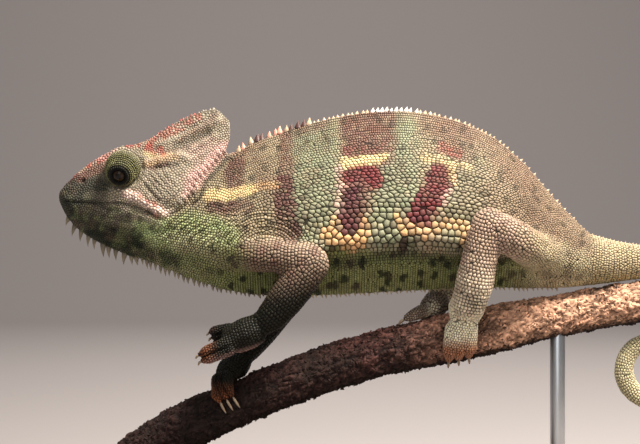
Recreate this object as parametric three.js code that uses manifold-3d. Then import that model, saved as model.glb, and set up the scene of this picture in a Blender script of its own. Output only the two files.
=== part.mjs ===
// A veiled chameleon, life size, walking down a cut length of branch on a display stand.
// Millimetres. +X runs from the snout to the tail, +Y to the animal's right side, +Z up.
// The origin is the centre of the stand's underside.
import * as THREE from 'three';
import { mergeVertices } from 'three/addons/utils/BufferGeometryUtils.js';
import Module from 'manifold-3d';

const wasm = await Module();
wasm.setup();

// Driving dimensions.
const gap = 0.3; // between two solids that touch
const base = { length: 190, width: 92, height: 8, corner: 14, bevel: 1 };
const rod = { radius: 2.4, places: [-60, 60], foot: 3, intoBranch: 4.5 };
const branchFrom = -79;
const branchTo = 89.5;
const eye = { x: -78, y: 6.9, z: 114, radius: 6.1, beadRadius: 2.4, proud: 0.35, forward: 8, down: 30 };
const leftSide = -1;
const rightSide = 1;

const colours = {
  skin: 0x9a9d7c,
  casque: 0xb3a489,
  limb: 0xb9a892,
  tail: 0xa9a17c,
  claw: 0xc9bba6,
  eye: 0x14100c,
  bark: 0x6d4a3c,
  steel: 0xb5b8bb,
  base: 0x2b211b,
};

// The branch's middle line and radius: x, z, radius.
const branchStations = [
  [-79, 18.6, 7.6],
  [-68, 26, 7.7],
  [-56, 33.4, 7.6],
  [-37, 41.3, 7.1],
  [-13, 50.6, 7],
  [10, 56.9, 7.2],
  [42, 63.2, 7.5],
  [61, 67.5, 6.5],
  [89.5, 72, 6.4],
];

// Neck, trunk and rump: x, top, belly, then half widths at belly, low flank, middle, high flank and back.
const bodyStations = [
  [-86.4, 103, 92, 3, 5, 5, 4, 3],
  [-73.6, 108.8, 85.4, 5, 8.2, 9, 8, 5],
  [-60.8, 115, 79.6, 5.5, 10, 10.8, 9.2, 5.2],
  [-49.6, 117.6, 75.4, 6, 11.2, 11.4, 8.8, 4.2],
  [-38.4, 123, 73.2, 6.5, 13, 12.4, 9.2, 3.2],
  [-22.4, 128.4, 72.7, 7, 15, 13.8, 10, 3],
  [-6.4, 132.2, 73.3, 7, 15.8, 14.6, 10.6, 3],
  [9.6, 133.6, 74.2, 7, 15.8, 14.6, 10.6, 3],
  [25.6, 131, 74.9, 7, 14.8, 13.8, 10.2, 3],
  [41.6, 123.6, 75.3, 7, 12.4, 12, 9.4, 3.4],
  [54.4, 111.2, 75.2, 7, 9.8, 10, 8.4, 4],
  [64, 98.9, 75.5, 6.6, 8.2, 8.2, 7, 4.4],
  [69.8, 93.8, 76.2, 6.2, 7.4, 7.4, 6.4, 4.8],
];

// Head with its casque: x, top, underside, then half widths at throat, jaw, cheek, temple and roof.
const headStations = [
  [-99.4, 107, 103.4, 1.6, 2, 2.2, 2, 1.4],
  [-98, 108.9, 100.2, 2.6, 3.8, 4.2, 3.9, 2.8],
  [-94.5, 112, 95.4, 3.4, 5.6, 6, 5.2, 3.8],
  [-88, 116.9, 90.9, 4, 7.3, 7.8, 6.2, 4.2],
  [-80, 121, 87.2, 5, 8.8, 9.6, 7, 4.4],
  [-73, 122.2, 84.6, 6, 9.8, 10.9, 8.2, 4],
  [-64, 127.9, 83.6, 6, 10.4, 11, 7.6, 2.2],
  [-56, 131.9, 93, 7.4, 9.4, 6.4, 3.4, 1.6],
  [-50, 133.5, 109.4, 4.6, 3.6, 2.6, 2, 1.3],
  [-46.2, 132.7, 119.4, 1.7, 1.6, 1.5, 1.3, 1.1],
  [-45, 129.6, 124, 0.8, 0.9, 0.9, 0.9, 0.8],
];

const mouthLine = [[-104, 104.4], [-94, 103], [-86, 102.8], [-78, 102.9], [-71, 101.4], [-62, 97]];

// The tail runs back over the branch, drops behind its cut end and winds up: x, z, radius.
const tailRun = [
  [69.8 + gap, 85, 8.9],
  [76, 84.5, 7.7],
  [86.4, 84.4, 6],
  [95, 83.9, 5.2],
  [102, 79.6, 4.8],
  [105.8, 71.4, 4.5],
  [106.2, 60.6, 4.2],
];
const coilCentre = { x: 90.2, z: 49.9 };
// Turn in degrees from the right, going down, distance from the coil's centre, radius.
const tailCoil = [
  [10, 13, 4.05],
  [90, 9.9, 3.85],
  [180, 9.2, 3.72],
  [270, 8.9, 3.4],
  [360, 5.4, 2.5],
  [450, 3, 1.95],
  [540, 2.7, 1.75],
  [630, 2.2, 1.4],
  [700, 1.8, 0.8],
];
const tailCuts = [0, 0.2, 0.4, 0.6, 0.8, 1]; // shares of the tail's length where it is parted

const at = (x, y, z) => new THREE.Vector3(x, y, z);

// Reads one column of a station table anywhere along its first column, on a smooth curve.
function read(stations, x, column) {
  const last = stations.length - 1;
  let i = 0;
  while (i < last - 1 && x > stations[i + 1][0]) i++;
  const slope = (k) => {
    const before = stations[Math.max(k - 1, 0)];
    const after = stations[Math.min(k + 1, last)];
    return (after[column] - before[column]) / (after[0] - before[0]);
  };
  const [from, to] = [stations[i], stations[i + 1]];
  const width = to[0] - from[0];
  const t = THREE.MathUtils.clamp((x - from[0]) / width, 0, 1);
  const a = from[column];
  const b = to[column];
  const rise = slope(i) * width;
  const fall = slope(i + 1) * width;
  return a + t * (rise + t * (3 * (b - a) - 2 * rise - fall + t * (2 * (a - b) + rise + fall)));
}

// A closed three.js geometry as a solid that can be joined and cut.
function solid(geometry) {
  const loose = geometry.index ? geometry.toNonIndexed() : geometry;
  const bare = new THREE.BufferGeometry().setAttribute('position', loose.getAttribute('position').clone());
  const merged = mergeVertices(bare, 1e-3);
  const triVerts = new Uint32Array(merged.index.array);
  const vertProperties = merged.attributes.position.array;
  const made = new wasm.Manifold(new wasm.Mesh({ numProp: 3, vertProperties, triVerts }));
  if (made.volume() > 0) return made;
  for (let i = 0; i < triVerts.length; i += 3) {
    [triVerts[i + 1], triVerts[i + 2]] = [triVerts[i + 2], triVerts[i + 1]];
  }
  return new wasm.Manifold(new wasm.Mesh({ numProp: 3, vertProperties, triVerts }));
}

// A cylinder reshaped: place(along, up, side) gives each point, from 0 to 1 along and from -1 to 1 across.
function tube(sides, rings, place) {
  const geometry = new THREE.CylinderGeometry(1, 1, 1, sides, rings);
  const points = geometry.getAttribute('position');
  for (let i = 0; i < points.count; i++) {
    const p = place(points.getY(i) + 0.5, points.getX(i), points.getZ(i));
    points.setXYZ(i, p.x, p.y, p.z);
  }
  return solid(geometry);
}

// A body whose upright sections come from a station table, grown outwards by extra.
function lofted(stations, from, to, sides, rings, ease, extra = 0) {
  const levels = 4;
  return tube(sides, rings, (along, up, side) => {
    const x = from + (to - from) * ease(along);
    const top = read(stations, x, 1) + extra;
    const bottom = read(stations, x, 2) - extra;
    const height = (up + 1) / 2;
    const widths = Array.from({ length: levels + 1 }, (_, i) => [i, read(stations, x, 3 + i)]);
    const half = read(widths, height * levels, 1) + extra;
    return at(x, side * half, bottom + (top - bottom) * height);
  });
}

// A limb along a smooth path. Each joint is [x, y, z, radius], and facing is the way that its side turns.
function limb(joints, { sides = 8, rings = 5, extra = 0, facing = at(0, 1, 0) } = {}) {
  const path = new THREE.CatmullRomCurve3(joints.map(([x, y, z]) => at(x, y, z)), false, 'centripetal');
  const radii = joints.map(([, , , r], i) => [i, r]);
  const roundEnd = 0.16; // share of the length over which each end closes
  return tube(sides, rings, (along, up, side) => {
    const t = 0.5 - 0.5 * Math.cos(Math.PI * along);
    const tangent = path.getTangent(t);
    const across = facing.clone().addScaledVector(tangent, -facing.dot(tangent)).normalize();
    const over = new THREE.Vector3().crossVectors(across, tangent);
    const edge = Math.min(t, 1 - t) / roundEnd;
    const closing = edge < 1 ? 0.3 + 0.7 * Math.sqrt(1 - (1 - edge) ** 2) : 1;
    const r = read(radii, t * (joints.length - 1), 1) * closing + extra;
    const ends = tangent.clone().multiplyScalar(along === 0 ? -extra : along === 1 ? extra : 0);
    return path.getPoint(t).add(ends).addScaledVector(over, up * r).addScaledVector(across, side * r);
  });
}

function ball(x, y, z, radius, detail = 12) {
  return solid(new THREE.SphereGeometry(radius, detail, Math.round(detail * 0.6)).translate(x, y, z));
}

const biggest = (shape) => shape.decompose().sort((a, b) => b.volume() - a.volume())[0];
const cutAway = (shape, tools) => tools.reduce((left, tool) => left.subtract(tool), shape);
const holds = (shape, x, y, z) => shape.intersect(ball(x, y, z, 0.5, 8)).volume() > 0;

// A thin upright wall across the body through two points of its side view.
function wallThrough([x1, z1], [x2, z2]) {
  const slab = new THREE.BoxGeometry(gap, 90, 200);
  slab.rotateY(Math.atan2(x2 - x1, z2 - z1));
  return solid(slab.translate((x1 + x2) / 2, 0, (z1 + z2) / 2));
}

// A small three-sided spine standing on a point of the midline.
function spine(x, z, lean, length, radius) {
  const cone = new THREE.ConeGeometry(radius, length * 1.3, 3);
  cone.rotateY(Math.PI / 2).scale(1.3, 1, 0.9).translate(0, length * 0.35, 0);
  cone.rotateX(Math.PI / 2).rotateY(lean);
  return solid(cone.translate(x, 0, z));
}

const group = new THREE.Group();

// Puts a solid in the model as its own named mesh.
function node(name, shape, colour, roughness = 0.75, metalness = 0) {
  const { vertProperties, triVerts } = shape.getMesh();
  const geometry = new THREE.BufferGeometry()
    .setAttribute('position', new THREE.BufferAttribute(new Float32Array(vertProperties), 3))
    .setIndex(new THREE.BufferAttribute(triVerts, 1));
  geometry.computeVertexNormals();
  const material = new THREE.MeshStandardMaterial({ color: colour, roughness, metalness, flatShading: true });
  const mesh = new THREE.Mesh(geometry, material);
  mesh.name = name;
  group.add(mesh);
}

// ---- Stand and branch ----
const branchAt = (x) => ({ z: read(branchStations, x, 1), r: read(branchStations, x, 2) });

function branchSolid(extra = 0) {
  return tube(10, 10, (along, up, side) => {
    const x = branchFrom - extra + (branchTo - branchFrom + 2 * extra) * along;
    const { z, r } = branchAt(x);
    const slope = (branchAt(x + 1).z - branchAt(x - 1).z) / 2;
    const lean = Math.atan(slope);
    const knobs = 1 + 0.035 * Math.sin(x * 0.31 + 3 * side) + 0.03 * Math.sin(x * 0.17 + 2 * up);
    const out = (r + extra) * knobs;
    return at(x - up * out * Math.sin(lean), side * out, z + up * out * Math.cos(lean));
  });
}

function rodSolid(x, extra = 0) {
  const { z, r } = branchAt(x);
  const low = rod.foot - extra;
  const high = z - r + rod.intoBranch + extra;
  const shape = new THREE.CylinderGeometry(rod.radius + extra, rod.radius + extra, high - low, 12);
  return solid(shape.rotateX(Math.PI / 2).translate(x, 0, (low + high) / 2));
}

function baseSolid() {
  const { length, width, height, corner, bevel } = base;
  const [a, b] = [length / 2 - bevel, width / 2 - bevel];
  const outline = new THREE.Shape();
  outline.moveTo(-a + corner, -b).lineTo(a - corner, -b).quadraticCurveTo(a, -b, a, -b + corner);
  outline.lineTo(a, b - corner).quadraticCurveTo(a, b, a - corner, b).lineTo(-a + corner, b);
  outline.quadraticCurveTo(-a, b, -a, b - corner).lineTo(-a, -b + corner);
  outline.quadraticCurveTo(-a, -b, -a + corner, -b);
  const plate = new THREE.ExtrudeGeometry(outline, {
    depth: height - 2 * bevel, bevelSize: bevel, bevelThickness: bevel, bevelSegments: 1, curveSegments: 2,
  });
  return solid(plate.translate(0, 0, bevel));
}

function buildStand() {
  let plate = baseSolid();
  let perch = branchSolid();
  rod.places.forEach((x, i) => {
    plate = plate.subtract(rodSolid(x, gap));
    perch = perch.subtract(rodSolid(x, gap));
    node(i === 0 ? 'stand_rod_front' : 'stand_rod_back', rodSolid(x), colours.steel, 0.3, 1);
  });
  node('stand_base', plate, colours.base, 0.5);
  node('perch', perch, colours.bark, 0.95);
}

// ---- Head, neck and trunk ----
const evenly = (t) => t;
const noseFirst = (t) => t ** 1.2;
const neckCut = [[-74.9, 85.1], [-50.2, 113]];
const trunkCut = [[-57.6, 77.4], [-39.7, 122.2]];
const casqueCut = [[-74.5, 120.6], [-51, 112.6]];
const rumpEnd = bodyStations.at(-1)[0];

const trunkSolid = (extra = 0) => lofted(bodyStations, bodyStations[0][0], rumpEnd, 16, 16, evenly, extra);

function mouthCut() {
  const upper = mouthLine.map(([x, z]) => new THREE.Vector2(x, z + gap / 2));
  const lower = mouthLine.map(([x, z]) => new THREE.Vector2(x, z - gap / 2)).reverse();
  const band = new THREE.Shape([...upper, ...lower]);
  const cut = new THREE.ExtrudeGeometry(band, { depth: 40, bevelEnabled: false });
  return solid(cut.translate(0, 0, -20).rotateX(Math.PI / 2));
}

// A row of crest spines along the back or the underside, from one x to the other.
function crestSpines(from, to, step, top, lengthAt) {
  const spines = [];
  for (let x = from; x <= to; x += step) {
    const stations = x < -62 && !top ? headStations : bodyStations;
    const column = top ? 1 : 2;
    const sunk = top ? -0.5 : 0.5;
    const z = read(stations, x, column) + sunk;
    const slope = (read(stations, x + 1, column) - read(stations, x - 1, column)) / 2;
    const lean = (top ? 0 : Math.PI) - Math.atan(slope);
    const length = lengthAt(x);
    const shape = spine(x, z, lean, length + Math.abs(sunk), 0.45 + 0.16 * length);
    spines.push({ x, z, inside: z + 2 * sunk, shape });
  }
  return spines;
}

const bell = (x, middle, spread) => Math.exp(-(((x - middle) / spread) ** 2));
const chinLength = (x) => (x < -90 ? 3.2 + (x + 96) * 0.3 : 1.6 + 3.4 * bell(x, -88, 26));
const backLength = (x) => 1.3 + 1.7 * bell(x, -38, 24);

function buildBody() {
  const trunk = trunkSolid();
  const head = lofted(headStations, headStations[0][0], headStations.at(-1)[0], 16, 15, noseFirst);
  const sockets = [leftSide, rightSide].map((side) => ball(eye.x, side * eye.y, eye.z, eye.radius + gap));
  const walls = [wallThrough(...neckCut), wallThrough(...trunkCut), mouthCut()];
  const pieces = cutAway(trunk.add(head), [...sockets, ...walls]).decompose();
  const parts = {
    head: pieces.find((piece) => holds(piece, -84, 0, 115)),
    lower_jaw: pieces.find((piece) => holds(piece, -84, 0, 95)),
    neck: pieces.find((piece) => holds(piece, -58, 0, 92)),
    trunk: pieces.find((piece) => holds(piece, 0, 0, 100)),
  };
  const clear = 1.9; // no spine stands this close to a cut
  const besideCut = (x, z) => [neckCut, trunkCut].some(([[x1, z1], [x2, z2]]) => (
    Math.abs(x - x1 - ((x2 - x1) * (z - z1)) / (z2 - z1)) < clear));
  const crests = [
    ...crestSpines(-96, -18, 2.8, false, chinLength),
    ...crestSpines(-42, 48, 3.5, true, backLength),
  ];
  for (const { x, z, inside, shape } of crests) {
    const owner = Object.keys(parts).find((name) => holds(parts[name], x, 0, inside));
    if (owner && !besideCut(x, z)) parts[owner] = parts[owner].add(shape);
  }
  const [casque, face] = parts.head.subtract(wallThrough(...casqueCut)).decompose()
    .sort((a, b) => b.boundingBox().max[2] - a.boundingBox().max[2]);
  node('casque', casque, colours.casque);
  node('head', face, colours.casque);
  for (const name of ['lower_jaw', 'neck', 'trunk']) node(name, parts[name], colours.skin);
}

// ---- Eyes ----
function buildEyes() {
  const forward = THREE.MathUtils.degToRad(eye.forward);
  const down = THREE.MathUtils.degToRad(eye.down);
  for (const [side, word] of [[leftSide, 'left'], [rightSide, 'right']]) {
    const look = at(-Math.sin(forward), side * Math.cos(forward), -Math.sin(down)).normalize();
    const centre = at(eye.x, side * eye.y, eye.z);
    const bead = centre.clone().addScaledVector(look, eye.radius + eye.proud - eye.beadRadius);
    const beadBall = (r) => ball(bead.x, bead.y, bead.z, r, 9);
    const turret = ball(centre.x, centre.y, centre.z, eye.radius).subtract(beadBall(eye.beadRadius + gap));
    node(`eye_turret_${word}`, turret, colours.skin);
    node(`eye_${word}`, beadBall(eye.beadRadius), colours.eye, 0.12);
  }
}

// ---- Tail ----
function tailPath() {
  const points = tailRun.map(([x, z, r]) => at(x, r, z));
  const steps = 30;
  const [first, last] = [tailCoil[0][0], tailCoil.at(-1)[0]];
  for (let i = 0; i <= steps; i++) {
    const turn = first + ((last - first) * i) / steps;
    const out = read(tailCoil, turn, 1);
    const angle = THREE.MathUtils.degToRad(turn);
    const [x, z] = [coilCentre.x + out * Math.cos(angle), coilCentre.z - out * Math.sin(angle)];
    points.push(at(x, read(tailCoil, turn, 2), z));
  }
  return new THREE.CatmullRomCurve3(points, false, 'centripetal'); // x and z are the place, y the radius
}

function buildTail() {
  const path = tailPath();
  path.arcLengthDivisions = 800;
  const total = path.getLength();
  const names = ['tail_root', 'tail_bend', 'tail_drop', 'tail_coil', 'tail_tip'];
  const rings = [3, 4, 6, 8, 9];
  const slimness = 0.86; // its width for its height
  names.forEach((name, i) => {
    const from = tailCuts[i] + (i > 0 ? gap / total : 0);
    const to = tailCuts[i + 1];
    const shape = tube(8, rings[i], (along, up, side) => {
      const t = from + (to - from) * along;
      const p = path.getPointAt(t);
      const d = path.getTangentAt(t).setY(0).normalize();
      return at(p.x - d.z * up * p.y, side * p.y * slimness, p.z + d.x * up * p.y);
    });
    node(name, i === 0 ? shape.subtract(trunkSolid(gap)) : shape, colours.tail);
  });
}

// ---- Legs ----
// Each joint is [x, out to the side, z, radius]. A claw bends back, inwards and up as clawBend gives.
const legs = {
  front_left: {
    side: leftSide,
    names: ['upper_arm_left', 'forearm_left', 'hand_left'],
    upper: [[-49, 5, 87, 5], [-39, 11, 86.4, 5.2], [-27, 14.8, 86.2, 5], [-13.8, 16.8, 85.4, 4.8]],
    lower: [[-14.6, 16.4, 88, 5], [-20, 16.2, 81.6, 5.8], [-26.6, 15.8, 73.2, 6.2], [-35, 14.8, 63.2, 4.9]],
    palm: [[-33.6, 14.6, 65, 4.8], [-40.4, 14.2, 61.8, 5.2], [-46, 13.6, 59.6, 3.8]],
    outerToes: { toes: 2, spread: 1.9 },
    outerPath: [[-40.5, 16, 60.2, 2.6], [-47.6, 17.4, 57.6, 2.5], [-53.7, 16.4, 54.8, 1.6]],
    innerToes: { toes: 3, spread: 1.6 },
    innerPath: [[-40.8, 12, 62.8, 2.4], [-46.6, 10.6, 62, 2.3], [-50.6, 9.8, 60.6, 1.5]],
    acrossToes: at(-0.35, 0, 0.94),
    clawLength: 1.8,
    clawBend: [0.75, 0.4, -0.7],
  },
  front_right: {
    side: rightSide,
    names: ['upper_arm_right', 'forearm_right', 'hand_right'],
    upper: [[-48, 5, 86.6, 5], [-38, 11, 84, 5.1], [-28, 14.8, 81, 5], [-16.6, 16.6, 77.6, 4.6]],
    lower: [[-16.4, 16.4, 80.4, 4.6], [-27, 12.6, 70.4, 5.2], [-35, 8, 60.6, 5], [-42, 3.4, 52, 4.2]],
    palm: [[-40.4, 4.4, 53.8, 4.2], [-44.4, 0.8, 49.8, 4.7], [-47.4, -1.8, 46.8, 3.4]],
    outerToes: { toes: 2, spread: 2 },
    outerPath: [[-44.6, 3.4, 48.6, 2.4], [-47.4, 9, 44.6, 2.3], [-46.6, 10, 38, 1.5]],
    innerToes: { toes: 3, spread: 2 },
    innerPath: [[-45.8, -2, 49, 2.5], [-47.6, -7.6, 46, 2.4], [-45, -10, 41, 1.5]],
    acrossToes: at(0.93, 0, 0.36),
    clawLength: 3.4,
    clawBend: [0.6, 0.15, -0.8],
  },
  hind_left: {
    side: leftSide,
    names: ['thigh_left', 'shank_left', 'foot_left'],
    upper: [[63, 2, 82, 6.6], [54, 11, 86, 6.6], [44, 16.8, 92, 6.1], [32.4, 19.4, 98.6, 5.4]],
    lower: [[36.6, 19.2, 102, 5.2], [34, 18.4, 91, 5.6], [31.6, 16.8, 78, 6.3], [28.8, 12.6, 66.8, 5.8]],
    palm: [[30, 14.4, 69.8, 5.6], [29.4, 9, 70, 5.4], [29, 3.4, 70.6, 3.4]],
    outerToes: { toes: 3, spread: 3 },
    outerPath: [[28.6, 11, 68, 3.4], [27.8, 11.4, 61, 3.2], [27.6, 8, 53.4, 2.1]],
    innerToes: { toes: 2, spread: 2.6 },
    innerPath: [[29.2, 1, 71, 2.7], [29.6, -8.4, 67, 2.5], [29.6, -9.6, 58.4, 1.7]],
    acrossToes: at(0.98, 0, 0.2),
    clawLength: 3,
    clawBend: [0.2, 1, -0.3],
  },
  hind_right: {
    side: rightSide,
    names: ['thigh_right', 'shank_right', 'foot_right'],
    upper: [[63, 2, 82, 6.6], [53, 11, 85.4, 6.6], [42, 16.8, 89.6, 6.1], [29.6, 19.4, 93.6, 5.4]],
    lower: [[33, 19.2, 96.4, 5.2], [30, 18, 86, 5.6], [26.4, 14, 77, 5.8], [21.2, 8.4, 69.8, 4.6]],
    palm: [[22.6, 9.4, 71.2, 4.8], [20.4, 5.4, 69.8, 4.2], [18.4, 1.8, 69.4, 3]],
    outerToes: { toes: 3, spread: 2.6 },
    outerPath: [[20.4, 6.6, 69, 2.8], [19.4, 11, 62, 2.6], [19, 8.6, 53, 1.8]],
    innerToes: { toes: 2, spread: 1.5 },
    innerPath: [[20, 1.8, 69.8, 2.5], [15, -1.2, 67.9, 2.2], [10.2, -2.4, 65.9, 1.3]],
    acrossToes: at(0.3, 0.95, 0),
    clawLength: 2.6,
    clawBend: [0.1, 0.6, -0.6],
  },
};

const toeShape = { sides: 6, rings: 3 };
const placed = (joints, side) => joints.map(([x, out, z, r]) => [x, side * out, z, r]);

// The toes of one bundle are grown together and part only near their ends.
function toeStrands(leg, bundle) {
  const { toes, spread } = leg[`${bundle}Toes`];
  const fan = [0.55, 0.83, 1.1]; // how far apart they are at the root, the middle and the tip
  return Array.from({ length: toes }, (_, i) => {
    const shift = leg.acrossToes.clone().multiplyScalar((i - (toes - 1) / 2) * spread);
    return placed(leg[`${bundle}Path`], leg.side).map(([x, y, z, r], k) => [
      x + shift.x * fan[k], y + shift.y * fan[k] * leg.side, z + shift.z * fan[k], r,
    ]);
  });
}

// A claw grows from its toe's tip, thickened by extra where it is the tool that clears its socket.
function claw(strand, leg, extra = 0) {
  const [a, b] = [strand.at(-2), strand.at(-1)].map(([x, y, z]) => at(x, y, z));
  const [back, inwards, up] = leg.clawBend;
  const length = leg.clawLength;
  const along = b.clone().sub(a).normalize();
  const bend = at(back, -Math.sign(b.y) * inwards, up).normalize();
  const start = b.clone().addScaledVector(along, -0.8);
  const middle = b.clone().addScaledVector(along, length * 0.3).addScaledVector(bend, length * 0.15);
  const tip = b.clone().addScaledVector(along, length * 0.5).addScaledVector(bend, length * 0.6);
  const joints = [[start, 0.85], [middle, 0.7], [tip, 0.26]].map(([p, r]) => [p.x, p.y, p.z, r]);
  return limb(joints, { sides: 4, rings: 3, extra, facing: at(0.3, 1, 0.2) });
}

// Two lengths of a limb joined, then parted by a thin slab that halves the angle between them.
function bentLimb(upper, lower, tools) {
  const [knee, below] = [lower[0], lower[1]].map(([x, y, z]) => at(x, y, z));
  const [end, above] = [upper.at(-1), upper.at(-2)].map(([x, y, z]) => at(x, y, z));
  const bend = knee.clone().add(end).multiplyScalar(0.5);
  const across = above.sub(end).normalize().sub(below.sub(knee).normalize()).normalize();
  const slab = new THREE.BoxGeometry(gap, 30, 30)
    .applyQuaternion(new THREE.Quaternion().setFromUnitVectors(at(1, 0, 0), across))
    .translate(bend.x, bend.y, bend.z);
  const pieces = cutAway(limb(upper).add(limb(lower)), [...tools, solid(slab)]).decompose();
  const halves = pieces.sort((a, b) => b.volume() - a.volume()).slice(0, 2);
  const { min, max } = halves[0].boundingBox();
  const middle = at(...[0, 1, 2].map((k) => (min[k] + max[k]) / 2));
  return middle.sub(bend).dot(across) > 0 ? halves : halves.reverse();
}

function buildToes(place, leg, bundle, tools) {
  const strands = toeStrands(leg, bundle);
  const toes = strands.map((strand) => limb(strand, toeShape)).reduce((all, toe) => all.add(toe));
  const sockets = strands.map((strand) => claw(strand, leg, gap));
  node(`${bundle}_toes_${place}`, biggest(cutAway(toes, [...tools, ...sockets])), colours.limb);
  strands.forEach((strand, i) => {
    node(`claw_${place}_${bundle}_${i + 1}`, biggest(cutAway(claw(strand, leg), tools)), colours.claw, 0.4);
  });
}

function buildLegs() {
  const trunk = trunkSolid(gap);
  const perch = branchSolid(gap);
  for (const [place, leg] of Object.entries(legs)) {
    const [upperName, lowerName, palmName] = leg.names;
    const [upper, lower, palm] = [leg.upper, leg.lower, leg.palm].map((joints) => placed(joints, leg.side));
    const [grownLower, grownPalm] = [lower, palm].map((joints) => limb(joints, { extra: gap }));
    const outerToes = toeStrands(leg, 'outer').map((strand) => limb(strand, { ...toeShape, extra: gap }));
    const [upperShape, lowerShape] = bentLimb(upper, lower, [trunk, perch]);
    node(upperName, upperShape, colours.limb);
    node(lowerName, lowerShape, colours.limb);
    node(palmName, biggest(cutAway(limb(palm), [trunk, grownLower, perch])), colours.limb);
    buildToes(place, leg, 'outer', [grownLower, grownPalm, perch]);
    buildToes(place, leg, 'inner', [grownLower, grownPalm, perch, ...outerToes]);
  }
}

buildStand();
buildBody();
buildEyes();
buildTail();
buildLegs();

export default group;
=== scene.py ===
# A veiled chameleon on its branch and display stand: skin, scales, crests, eyes, claws, bark and stand.
# The helpers work in metres, and the tables below are in millimetres, as the solids are.
import math
import time
import bpy
import numpy as np
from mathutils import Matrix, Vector, kdtree
from mathutils.bvhtree import BVHTree


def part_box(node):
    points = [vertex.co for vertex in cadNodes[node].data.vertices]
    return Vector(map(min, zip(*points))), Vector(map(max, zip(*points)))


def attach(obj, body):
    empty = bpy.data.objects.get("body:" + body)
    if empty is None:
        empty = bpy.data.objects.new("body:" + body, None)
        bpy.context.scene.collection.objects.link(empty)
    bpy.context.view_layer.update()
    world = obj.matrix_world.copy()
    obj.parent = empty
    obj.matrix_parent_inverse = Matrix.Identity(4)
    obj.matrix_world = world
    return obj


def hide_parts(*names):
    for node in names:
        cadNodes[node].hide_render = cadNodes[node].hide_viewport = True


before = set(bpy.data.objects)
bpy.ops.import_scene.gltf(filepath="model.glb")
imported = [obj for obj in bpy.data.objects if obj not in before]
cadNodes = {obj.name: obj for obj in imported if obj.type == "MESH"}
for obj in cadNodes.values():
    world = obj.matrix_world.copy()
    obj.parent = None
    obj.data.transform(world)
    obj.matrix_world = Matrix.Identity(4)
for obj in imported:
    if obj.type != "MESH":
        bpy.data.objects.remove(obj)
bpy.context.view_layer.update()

mm = 0.001
started = time.time()


def report(stage):
    print(f"{stage}: {time.time() - started:.1f} s", flush=True)


# ---- Helpers ----
def deselectAll():
    if bpy.context.mode != "OBJECT":
        bpy.ops.object.mode_set(mode="OBJECT")
    bpy.ops.object.select_all(action="DESELECT")


def pick(*pieces):
    deselectAll()
    for piece in pieces:
        piece.select_set(True)
    bpy.context.view_layer.objects.active = pieces[0]


def applyModifier(piece, kind, **settings):
    modifier = piece.modifiers.new(kind, kind)
    for name, value in settings.items():
        setattr(modifier, name, value)
    pick(piece)
    bpy.ops.object.modifier_apply(modifier=modifier.name)


def newPiece(name, mesh):
    piece = bpy.data.objects.new(name, mesh)
    bpy.context.scene.collection.objects.link(piece)
    return piece


def shadeSmooth(piece):
    pick(piece)
    bpy.ops.object.shade_smooth()


# Leaves the piece in edit mode with all of it selected.
def editAll(piece):
    pick(piece)
    bpy.ops.object.mode_set(mode="EDIT")
    bpy.ops.mesh.select_all(action="SELECT")


def endEdit():
    bpy.ops.object.mode_set(mode="OBJECT")


def mergedCopy(nodeName, pieceName):
    piece = newPiece(pieceName, cadNodes[nodeName].data.copy())
    piece.data.materials.clear()
    editAll(piece)
    bpy.ops.mesh.remove_doubles(threshold=0.02 * mm)
    endEdit()
    return piece


def joined(pieces, name):
    pick(*pieces)
    bpy.ops.object.join()
    piece = bpy.context.view_layer.objects.active
    piece.name = piece.data.name = name
    return piece


def vertexArray(piece, what="co"):
    values = np.empty(len(piece.data.vertices) * 3, np.float32)
    if what == "co":
        piece.data.vertices.foreach_get("co", values)
    else:
        piece.data.vertex_normals.foreach_get("vector", values)
    return values.reshape(-1, 3).astype(np.float64)


def setVertices(piece, places):
    piece.data.vertices.foreach_set("co", places.astype(np.float32).ravel())
    piece.data.update()


# Leaves the piece in edit mode with the chosen vertices, edges or faces selected.
def selectParts(piece, kind, chosen):
    pick(piece)
    bpy.ops.object.mode_set(mode="EDIT")
    bpy.ops.mesh.select_mode(type=kind)
    bpy.ops.mesh.select_all(action="DESELECT")
    endEdit()
    parts = {"VERT": piece.data.vertices, "EDGE": piece.data.edges, "FACE": piece.data.polygons}[kind]
    parts.foreach_set("select", np.asarray(chosen, bool))
    bpy.ops.object.mode_set(mode="EDIT")


# ---- Camera ----
camera = {"x": -16, "back": 450, "z": 97.14, "seenWidth": 204.8, "sensor": 36}


def buildCamera():
    bpy.ops.object.camera_add(
        location=(camera["x"] * mm, -camera["back"] * mm, camera["z"] * mm),
        rotation=(math.pi / 2, 0, 0))
    made = bpy.context.object
    made.name = "camera"
    made.data.sensor_width = camera["sensor"]
    made.data.lens = camera["sensor"] * camera["back"] / camera["seenWidth"]
    made.data.clip_start = 0.01
    bpy.context.scene.camera = made


buildCamera()

# ---- Skin ----
skinSettings = {
    "voxel": 0.5, "grow": 0.24, "capReach": 0.45,
    "bodySmoothing": 110, "rootSmoothing": 160, "limbSmoothing": 120,
    "footSmoothing": 9, "headSmoothing": 14,
    "keptShare": 0.46,  # of the faces, most of them on the head and feet
    "ridge": 0.5,  # how high the back's ridge stands
    "lidRoot": 1.9,  # how strongly the skin is drawn in round the turrets
    "rootHold": 0.92,  # how far the limbs' roots move to the body's surface
    # how far the skin lies inside the solids, which is the coat's depth
    "inset": {"head": 0.45, "turret": 0.4, "neck": 0.5, "trunk": 0.62, "tail": 0.3,
              "limb": 0.4, "foot": 0.24, "toe": 0.2},
    "thinInset": 0.15,  # the share of the inset that is left at the thin top of the casque
}
fleshNodes = [
    name for name in cadNodes
    if not name.startswith(("claw_", "stand_", "perch")) and name not in ("eye_left", "eye_right")]
regions = ["head", "turret", "neck", "trunk", "tail", "limb", "foot", "toe"]


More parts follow.
